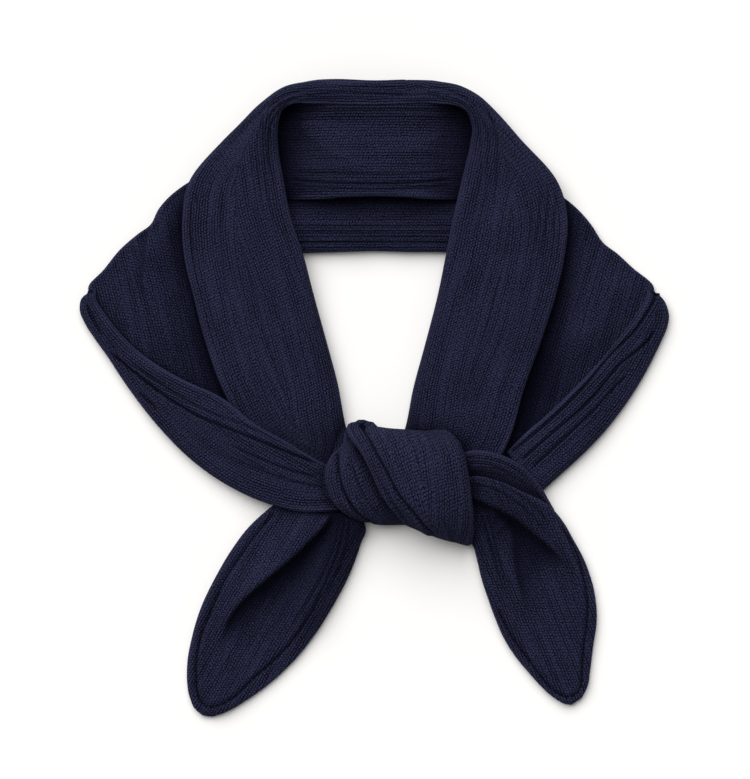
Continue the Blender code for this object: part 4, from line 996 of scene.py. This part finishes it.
def knit_cloth(
    name, table, wales, below=(), nodes=(), square=False
):
    """One stretch of cloth: a grid moved to its place, with a thickness, laid on what is below."""
    cloth = bpy.context.scene.scarf_cloth
    rows = np.array(table, dtype=float)
    middle = (rows[:, A] + rows[:, B]) / 2
    reach = np.concatenate(([0.0], np.cumsum(np.hypot(*np.diff(middle, axis=0).T))))
    places = np.linspace(0, reach[-1], int(reach[-1] * MM / cloth.along) + 1)
    sections = smooth_at(rows, reach, places)
    sections[:, A_TOP:] = np.maximum(sections[:, A_TOP:], 0.0)
    trees = [surface_of(name) for name in below]
    edges_raised(sections, trees)
    widest = np.hypot(*(sections[:, B] - sections[:, A]).T).max()
    count = int((widest + 12.0) * MM / cloth.across)
    data = np.array([profile(name, section, count) for section in sections])
    points, lift = data[:, :, :3].copy(), data[:, :, 4]
    from_a, from_b = data[:, :, 3], data[:, :, 6]

    depth = thickness_of(points, sections, cloth.thickness / MM)
    if square:
        points = squared(points, sections)
    if trees:
        points[:, :, 2] += laid_on(points, depth * (lift > 0.99), data[:, :, 5], trees)
    facing = facing_of(points)
    x, y = points[:, :, 0], points[:, :, 1]
    ribs, shade = ribbing(name, x, y)
    points += facing * (lift * (ribs + cloth.uneven / MM * dents(x, y)))[:, :, None]
    points[:, :, 2] = np.maximum(points[:, :, 2], depth * np.clip(lift, 0.0, 1.0) + 0.02)

    mesh = bmesh.new()
    bmesh.ops.create_grid(mesh, x_segments=count - 1, y_segments=len(sections) - 1, size=0.5)
    made = bpy.data.meshes.new(name)
    mesh.to_mesh(made)
    mesh.free()
    at = np.empty(len(made.vertices) * 3)
    made.vertices.foreach_get("co", at)
    at = at.reshape(-1, 3)
    column = np.rint((at[:, 0] + 0.5) * (count - 1)).astype(int)
    row = np.rint((at[:, 1] + 0.5) * (len(sections) - 1)).astype(int)
    made.vertices.foreach_set("co", (points[row, column] * MM).ravel())
    u, v = wales(points, from_a, from_b, places)
    corner = np.empty(len(made.loops), dtype=np.int32)
    made.loops.foreach_get("vertex_index", corner)
    stitch_map = made.uv_layers.new(name="knit")
    both = np.column_stack((u[row, column], v[row, column]))[corner] * MM
    stitch_map.data.foreach_set("uv", both.ravel().astype(np.float32))
    # how near an edge: it opens the stitches there and sets a highlight painted along rolled edges
    near = np.exp(-((np.maximum(np.minimum(from_a, from_b), 0.0) / OPEN_REACH) ** 2))
    # painted shade: grooves, topstitching and deep folds darken the colour
    painted_dark = 1.0 - (1.0 - shade * lift) * (1.0 - painted_darkness(name, x, y))
    for key, values in (("painted_shade", painted_dark), ("open", near)):
        attribute = made.attributes.new(key, "FLOAT", "POINT")
        attribute.data.foreach_set("value", values[row, column].astype(np.float32))
    normals = np.empty(len(made.polygons) * 3)
    made.polygons.foreach_get("normal", normals)
    first = corner[:: 4]
    if (normals.reshape(-1, 3) * facing[row, column][first]).sum() < 0:
        made.flip_normals()
    made.shade_smooth()

    piece = bpy.data.objects.new(f"{name}_cloth", made)
    bpy.context.collection.objects.link(piece)
    group = piece.vertex_groups.new(name="thickness")
    share = np.clip(depth[row, column] * MM / cloth.thickness, 0.02, 1.0)
    levels = np.rint(share * 50).astype(int)
    for level in np.unique(levels):
        group.add(np.flatnonzero(levels == level).tolist(), float(level) / 50, "REPLACE")
    wall = piece.modifiers.new("wall", "SOLIDIFY")
    wall.thickness = cloth.thickness
    wall.offset = -1
    wall.use_even_offset = False
    wall.vertex_group = group.name
    made.materials.append(knit_material())
    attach(piece, "root")
    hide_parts(*nodes)
    return piece


def stitching(name, tail):
    """A row of short stitches that lie in their groove."""
    line = curve_through(STITCHES[tail], 12)
    run = np.concatenate(([0.0], np.cumsum(np.hypot(*np.diff(line, axis=0).T))))
    tree = surface_of(tail)
    mesh = bmesh.new()
    for start in np.arange(0.8, run[-1] - 3.0, 3.6):
        ends = []
        for place in (start, start + 2.6):
            x, y = np.interp(place, run, line[:, 0]), np.interp(place, run, line[:, 1])
            hit = tree.ray_cast(Vector((x, y, FAR_UP)), Vector((0, 0, -1)))[0]
            if hit is not None:
                ends.append(hit + Vector((0, 0, 0.05)))
        if len(ends) < 2:
            continue
        middle = (ends[0] + ends[1]) / 2
        direction = ends[1] - ends[0]
        turn = direction.to_track_quat("X", "Z").to_matrix().to_4x4()
        size = Matrix.Diagonal((direction.length / 2, 0.42, 0.3, 1.0))
        bmesh.ops.create_uvsphere(
            mesh, u_segments=8, v_segments=6, radius=1.0,
            matrix=Matrix.Translation(middle) @ turn @ size @ Matrix.Rotation(math.pi / 2, 4, "Y"),
        )
    bmesh.ops.scale(mesh, vec=(MM, MM, MM), verts=mesh.verts)
    made = bpy.data.meshes.new(name)
    mesh.to_mesh(made)
    mesh.free()
    made.shade_smooth()
    piece = bpy.data.objects.new(name, made)
    bpy.context.collection.objects.link(piece)
    made.materials.append(thread_material())
    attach(piece, "root")
    return piece


# Materials


class Value:
    """A socket of a material, with arithmetic."""

    def __init__(self, tree, socket):
        self.tree, self.socket = tree, socket

    def maths(self, operation, *values):
        return node(self.tree, "ShaderNodeMath", {"operation": operation}, dict(enumerate(values)))

    def __add__(self, other):
        return self.maths("ADD", self, other)

    def __sub__(self, other):
        return self.maths("SUBTRACT", self, other)

    def __rsub__(self, other):
        return self.maths("SUBTRACT", other, self)

    def __mul__(self, other):
        return self.maths("MULTIPLY", self, other)

    def __pow__(self, other):
        return self.maths("POWER", self, other)

    def __abs__(self):
        return self.maths("ABSOLUTE", self)

    __radd__ = __add__

    def fraction(self):
        return self.maths("FRACT", self)


def node(tree, kind, settings=None, inputs=None, output=0):
    """Adds a node with its settings and the values or links of its sockets."""
    made = tree.nodes.new(kind)
    for key, value in (settings or {}).items():
        setattr(made, key, value)
    for key, value in (inputs or {}).items():
        if isinstance(value, Value):
            tree.links.new(value.socket, made.inputs[key])
        else:
            made.inputs[key].default_value = value
    return Value(tree, made.outputs[output])


def blended(tree, factor, low, high):
    """A colour between two."""
    inputs = {"Factor": factor, "A": low, "B": high}
    mix = tree.nodes.new("ShaderNodeMix")
    mix.data_type = "RGBA"
    sockets = {"Factor": mix.inputs[0], "A": mix.inputs[6], "B": mix.inputs[7]}
    for key, value in inputs.items():
        if isinstance(value, Value):
            tree.links.new(value.socket, sockets[key])
        else:
            sockets[key].default_value = value
    return Value(tree, mix.outputs[2])


def stretched(tree, place):
    """Places squeezed so that a pattern on them runs in streaks along the stitch columns."""
    return node(
        tree, "ShaderNodeVectorMath", {"operation": "MULTIPLY"}, {0: place, 1: (330.0, 22.0, 330.0)}
    )


def new_material(name):
    material = bpy.data.materials.new(name)
    material.use_nodes = True
    return material, material.node_tree, material.node_tree.nodes["Principled BSDF"]


def knit_material(name="scarf_knit", source="UV"):
    """Plush knit: columns of V-shaped stitches along the map, with fuzz over them, shade painted in its
    grooves and folds and a painted highlight along rolled edges.
    """
    if name in bpy.data.materials:
        return bpy.data.materials[name]
    cloth, colours = bpy.context.scene.scarf_cloth, bpy.context.scene.scarf_colours
    material, tree, shader = new_material(name)
    if source == "UV":
        place = node(tree, "ShaderNodeUVMap", {"uv_map": "knit"})
    else:
        place = node(tree, "ShaderNodeTexCoord", output="Object")
    wobble = node(
        tree, "ShaderNodeTexNoise", {"noise_dimensions": "3D"},
        {"Vector": place, "Scale": 260.0, "Detail": 2.0}, output="Color",
    )
    split = tree.nodes.new("ShaderNodeSeparateXYZ")
    tree.links.new(place.socket, split.inputs[0])
    sway = tree.nodes.new("ShaderNodeSeparateColor")
    tree.links.new(wobble.socket, sway.inputs[0])
    u = Value(tree, split.outputs[0]) + (Value(tree, sway.outputs[0]) - 0.5) * WANDER_ACROSS
    v = Value(tree, split.outputs[1]) + (Value(tree, sway.outputs[1]) - 0.5) * WANDER_ALONG
    lanes = u * (2 / cloth.wale)
    across = abs(lanes.fraction() - 0.5) * 2.0
    slant = abs((u * (1 / cloth.wale)).fraction() - 0.5)
    stagger = (lanes - lanes.fraction()) * SHIFT
    course = abs((v * (1 / cloth.course) + slant * SLANT + stagger).fraction() - 0.5) * 2.0
    fuzz = node(
        tree, "ShaderNodeTexNoise", {"noise_dimensions": "3D"},
        {"Vector": place, "Scale": 1150.0, "Detail": 3.0, "Roughness": 0.65},
    )
    patches = node(
        tree, "ShaderNodeTexNoise", {"noise_dimensions": "3D"},
        {"Vector": place, "Scale": 60.0, "Detail": 3.0, "Roughness": 0.6},
    )
    streaks = node(
        tree, "ShaderNodeTexNoise", {"noise_dimensions": "2D"},
        {"Vector": stretched(tree, place), "Scale": 1.0, "Detail": 1.0},
    )
    painted_shade = node(tree, "ShaderNodeAttribute", {"attribute_name": "painted_shade"}, output="Fac")
    # near an edge: stitches stretched open there, and a painted highlight along rolled edges
    stretch_and_rim_light = node(tree, "ShaderNodeAttribute", {"attribute_name": "open"}, output="Fac")
    gap = across**3 * (0.6 + stretch_and_rim_light * 0.4) * (streaks * 2.3 - 0.35)
    stitch = 1.0 - gap * 1.2 - course**3 * 0.7
    # the last term is a highlight painted along rolled edges
    light = stitch * 1.05 + (fuzz - 0.5) * 4.2 + (patches - 0.5) * 0.4 - 0.16 + stretch_and_rim_light**24 * 0.7
    # shade painted into grooves and deep folds darkens the colour
    light = light * (1.0 - painted_shade * 0.95)
    light = node(tree, "ShaderNodeClamp", None, {0: light, 1: 0.0, 2: 1.0})
    tree.links.new(
        blended(tree, light, (*colours.shade, 1.0), (*colours.yarn, 1.0)).socket,
        shader.inputs["Base Color"],
    )
    height = stitch * 0.75 + fuzz * 0.5
    bump = node(tree, "ShaderNodeBump", None, {"Strength": 1.0, "Distance": 0.0012, "Height": height})
    tree.links.new(bump.socket, shader.inputs["Normal"])
    shader.inputs["Roughness"].default_value = 0.92
    shader.inputs["Specular IOR Level"].default_value = 0.02
    shader.inputs["Sheen Weight"].default_value = 0.04
    shader.inputs["Sheen Roughness"].default_value = 0.4
    shader.inputs["Sheen Tint"].default_value = (0.42, 0.45, 0.75, 1.0)
    return material


def thread_material():
    """Twisted sewing thread."""
    if "scarf_thread" in bpy.data.materials:
        return bpy.data.materials["scarf_thread"]
    colours = bpy.context.scene.scarf_colours
    material, tree, shader = new_material("scarf_thread")
    place = node(tree, "ShaderNodeTexCoord", output="Object")
    twist = node(tree, "ShaderNodeTexNoise", None, {"Vector": place, "Scale": 2400.0, "Detail": 1.0})
    low = tuple(0.6 * c for c in colours.thread)
    high = tuple(1.4 * c for c in colours.thread)
    tree.links.new(
        blended(tree, twist, (*low, 1.0), (*high, 1.0)).socket, shader.inputs["Base Color"]
    )
    bump = node(tree, "ShaderNodeBump", None, {"Strength": 0.6, "Distance": 0.0002, "Height": twist})
    tree.links.new(bump.socket, shader.inputs["Normal"])
    shader.inputs["Roughness"].default_value = 0.9
    shader.inputs["Specular IOR Level"].default_value = 0.05
    return material


# Operators


class SCARF_OT_back(bpy.types.Operator):
    """Lays the two layers at the back of the neck"""

    bl_idname = "scarf.back"
    bl_label = "Back of the neck"

    def execute(self, context):
        knit_cloth(
            "back_layer", BACK_LAYER, straight_wales(0), nodes=["back_layer"],
        )
        knit_cloth(
            "back_inner", BACK_INNER, straight_wales(0), ["back_layer"],
            ["back_neck_inner", "hidden_back"],
        )
        return {"FINISHED"}


class SCARF_OT_wings(bpy.types.Operator):
    """Lays the cloth that fans out on both sides"""

    bl_idname = "scarf.wings"
    bl_label = "Wings"

    def execute(self, context):
        for side, table, turn in (("left", WING_LEFT, -76), ("right", WING_RIGHT, -106)):
            knit_cloth(
                f"wing_{side}", table, straight_wales(turn), (), [f"wing_{side}", f"hidden_{side}"],
            )
        return {"FINISHED"}


class SCARF_OT_collar(bpy.types.Operator):
    """Lays the folded band round the neck opening"""

    bl_idname = "scarf.collar"
    bl_label = "Collar"

    def execute(self, context):
        nodes = ["front_band_left", "neck_roll", "front_band_right"]
        below = ["back_layer", "back_inner", "wing_left", "wing_right", "hem_right"]
        knit_cloth(
            "collar", COLLAR, edge_wales, below, nodes,
        )
        return {"FINISHED"}


class SCARF_OT_hem(bpy.types.Operator):
    """Lays a ribbed band along the scarf's outer edge"""

    bl_idname = "scarf.hem"
    bl_label = "Hem band"

    side: bpy.props.EnumProperty(
        name="Side", description="Which side of the scarf",
        items=[("left", "Left", ""), ("right", "Right", "")],
    )

    def execute(self, context):
        if self.side == "left":
            below = ["wing_left", "collar", "tail_left"]
            knit_cloth(
                "hem_left", HEM_LEFT, edge_wales, below, ["hem_band_left"],
            )
        else:
            knit_cloth(
                "hem_right", HEM_RIGHT, edge_wales, ["wing_right"], ["hem_band_right"],
            )
        return {"FINISHED"}


class SCARF_OT_tails(bpy.types.Operator):
    """Lays the end that comes out of the knot on one side"""

    bl_idname = "scarf.tail"
    bl_label = "End"

    side: bpy.props.EnumProperty(
        name="Side", description="Which side of the knot",
        items=[("left", "Left", ""), ("right", "Right", "")],
    )

    def execute(self, context):
        if self.side == "left":
            knit_cloth(
                "tail_left", TAIL_LEFT, straight_wales(-120), (), ["tail_left"],
            )
        else:
            knit_cloth(
                "tail_lobe", TAIL_LOBE, edge_wales, ["collar", "hem_right"], ["tail_right_lobe"],
            )
            knit_cloth(
                "tail_right", TAIL_RIGHT, straight_wales(-68), ["collar", "hem_right", "tail_lobe"],
                ["tail_right"],
            )
        stitching(f"topstitch_{self.side}", f"tail_{self.side}")
        return {"FINISHED"}


class SCARF_OT_knot(bpy.types.Operator):
    """Lays the two turns of the knot"""

    bl_idname = "scarf.knot"
    bl_label = "Knot"

    def execute(self, context):
        below = ["collar", "hem_left", "tail_left"]
        knit_cloth(
            "knot_turn", KNOT_TURN, edge_wales, below, ["knot_turn"],
            square=True,
        )
        below += ["tail_right", "tail_lobe", "knot_turn"]
        knit_cloth(
            "knot_wrap", KNOT_WRAP, edge_wales, below, ["knot_wrap"],
            square=True,
        )
        return {"FINISHED"}


class SCARF_OT_core(bpy.types.Operator):
    """Gives the cloth inside the knot its knit"""

    bl_idname = "scarf.core"
    bl_label = "Inside of the knot"

    def execute(self, context):
        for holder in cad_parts["knot_core"].material_slots:
            holder.material = knit_material("scarf_knit_inside", "Object")
        return {"FINISHED"}


class SCARF_OT_stage(bpy.types.Operator):
    """Puts the pale surface, the soft light and the camera round the scarf"""

    bl_idname = "scarf.stage"
    bl_label = "Stage"

    def execute(self, context):
        studio = context.scene.scarf_studio
        mesh = bmesh.new()
        bmesh.ops.create_grid(mesh, x_segments=1, y_segments=1, size=6.0)
        made = bpy.data.meshes.new("surface")
        mesh.to_mesh(made)
        mesh.free()
        floor = bpy.data.objects.new("surface", made)
        context.collection.objects.link(floor)
        material, _, shader = new_material("pale_surface")
        shader.inputs["Base Color"].default_value = (*context.scene.scarf_colours.floor, 1.0)
        shader.inputs["Roughness"].default_value = 0.9
        shader.inputs["Specular IOR Level"].default_value = 0.1
        made.materials.append(material)

        world = bpy.data.worlds.new("studio")
        world.use_nodes = True
        world.node_tree.nodes["Background"].inputs["Color"].default_value = (1.0, 1.0, 1.0, 1.0)
        world.node_tree.nodes["Background"].inputs["Strength"].default_value = studio.fill
        context.scene.world = world
        lamp = bpy.data.lights.new("key", "SUN")
        lamp.energy, lamp.angle = studio.key, studio.softness
        holder = bpy.data.objects.new("key", lamp)
        holder.rotation_euler = Vector((0.3, -0.7, -0.95)).to_track_quat("-Z", "Y").to_euler()
        context.collection.objects.link(holder)

        camera = bpy.data.cameras.new("camera")
        camera.sensor_width = SENSOR
        camera.lens = SENSOR * studio.distance / (VIEW_PIXELS * PIXEL * MM)
        camera.clip_end = 50.0
        holder = bpy.data.objects.new("camera", camera)
        holder.location = (*VIEW_CENTRE, studio.distance)
        context.collection.objects.link(holder)
        context.scene.camera = holder
        context.scene.view_settings.view_transform = "Standard"
        return {"FINISHED"}


class SCARF_PT_panel(bpy.types.Panel):
    """The scarf's sizes, colours and steps"""

    bl_idname = "SCARF_PT_panel"
    bl_label = "Knitted triangle scarf"
    bl_space_type = "VIEW_3D"
    bl_region_type = "UI"
    bl_category = "Scarf"

    def draw(self, context):
        for group in (context.scene.scarf_cloth, context.scene.scarf_colours, context.scene.scarf_studio):
            box = self.layout.box()
            for key in type(group).__annotations__:
                box.prop(group, key)
        for step in STEPS:
            self.layout.operator(step.bl_idname)


GROUPS = (
    ("scarf_cloth", ScarfCloth),
    ("scarf_colours", ScarfColours),
    ("scarf_studio", ScarfStudio),
)
STEPS = (
    SCARF_OT_back,
    SCARF_OT_wings,
    SCARF_OT_collar,
    SCARF_OT_hem,
    SCARF_OT_tails,
    SCARF_OT_knot,
    SCARF_OT_core,
    SCARF_OT_stage,
)


def register():
    for key, group in GROUPS:
        bpy.utils.register_class(group)
        setattr(bpy.types.Scene, key, bpy.props.PointerProperty(type=group))
    for step in (*STEPS, SCARF_PT_panel):
        bpy.utils.register_class(step)


def unregister():
    for step in reversed((*STEPS, SCARF_PT_panel)):
        bpy.utils.unregister_class(step)
    for key, group in reversed(GROUPS):
        delattr(bpy.types.Scene, key)
        bpy.utils.unregister_class(group)


def main():
    register()
    bpy.ops.scarf.back()
    bpy.ops.scarf.wings()
    bpy.ops.scarf.hem(side="right")
    bpy.ops.scarf.collar()
    bpy.ops.scarf.tail(side="left")
    bpy.ops.scarf.hem(side="left")
    bpy.ops.scarf.tail(side="right")
    bpy.ops.scarf.knot()
    bpy.ops.scarf.core()
    bpy.ops.scarf.stage()
    bpy.context.view_layer.update()


if __name__ == "__main__":
    main()
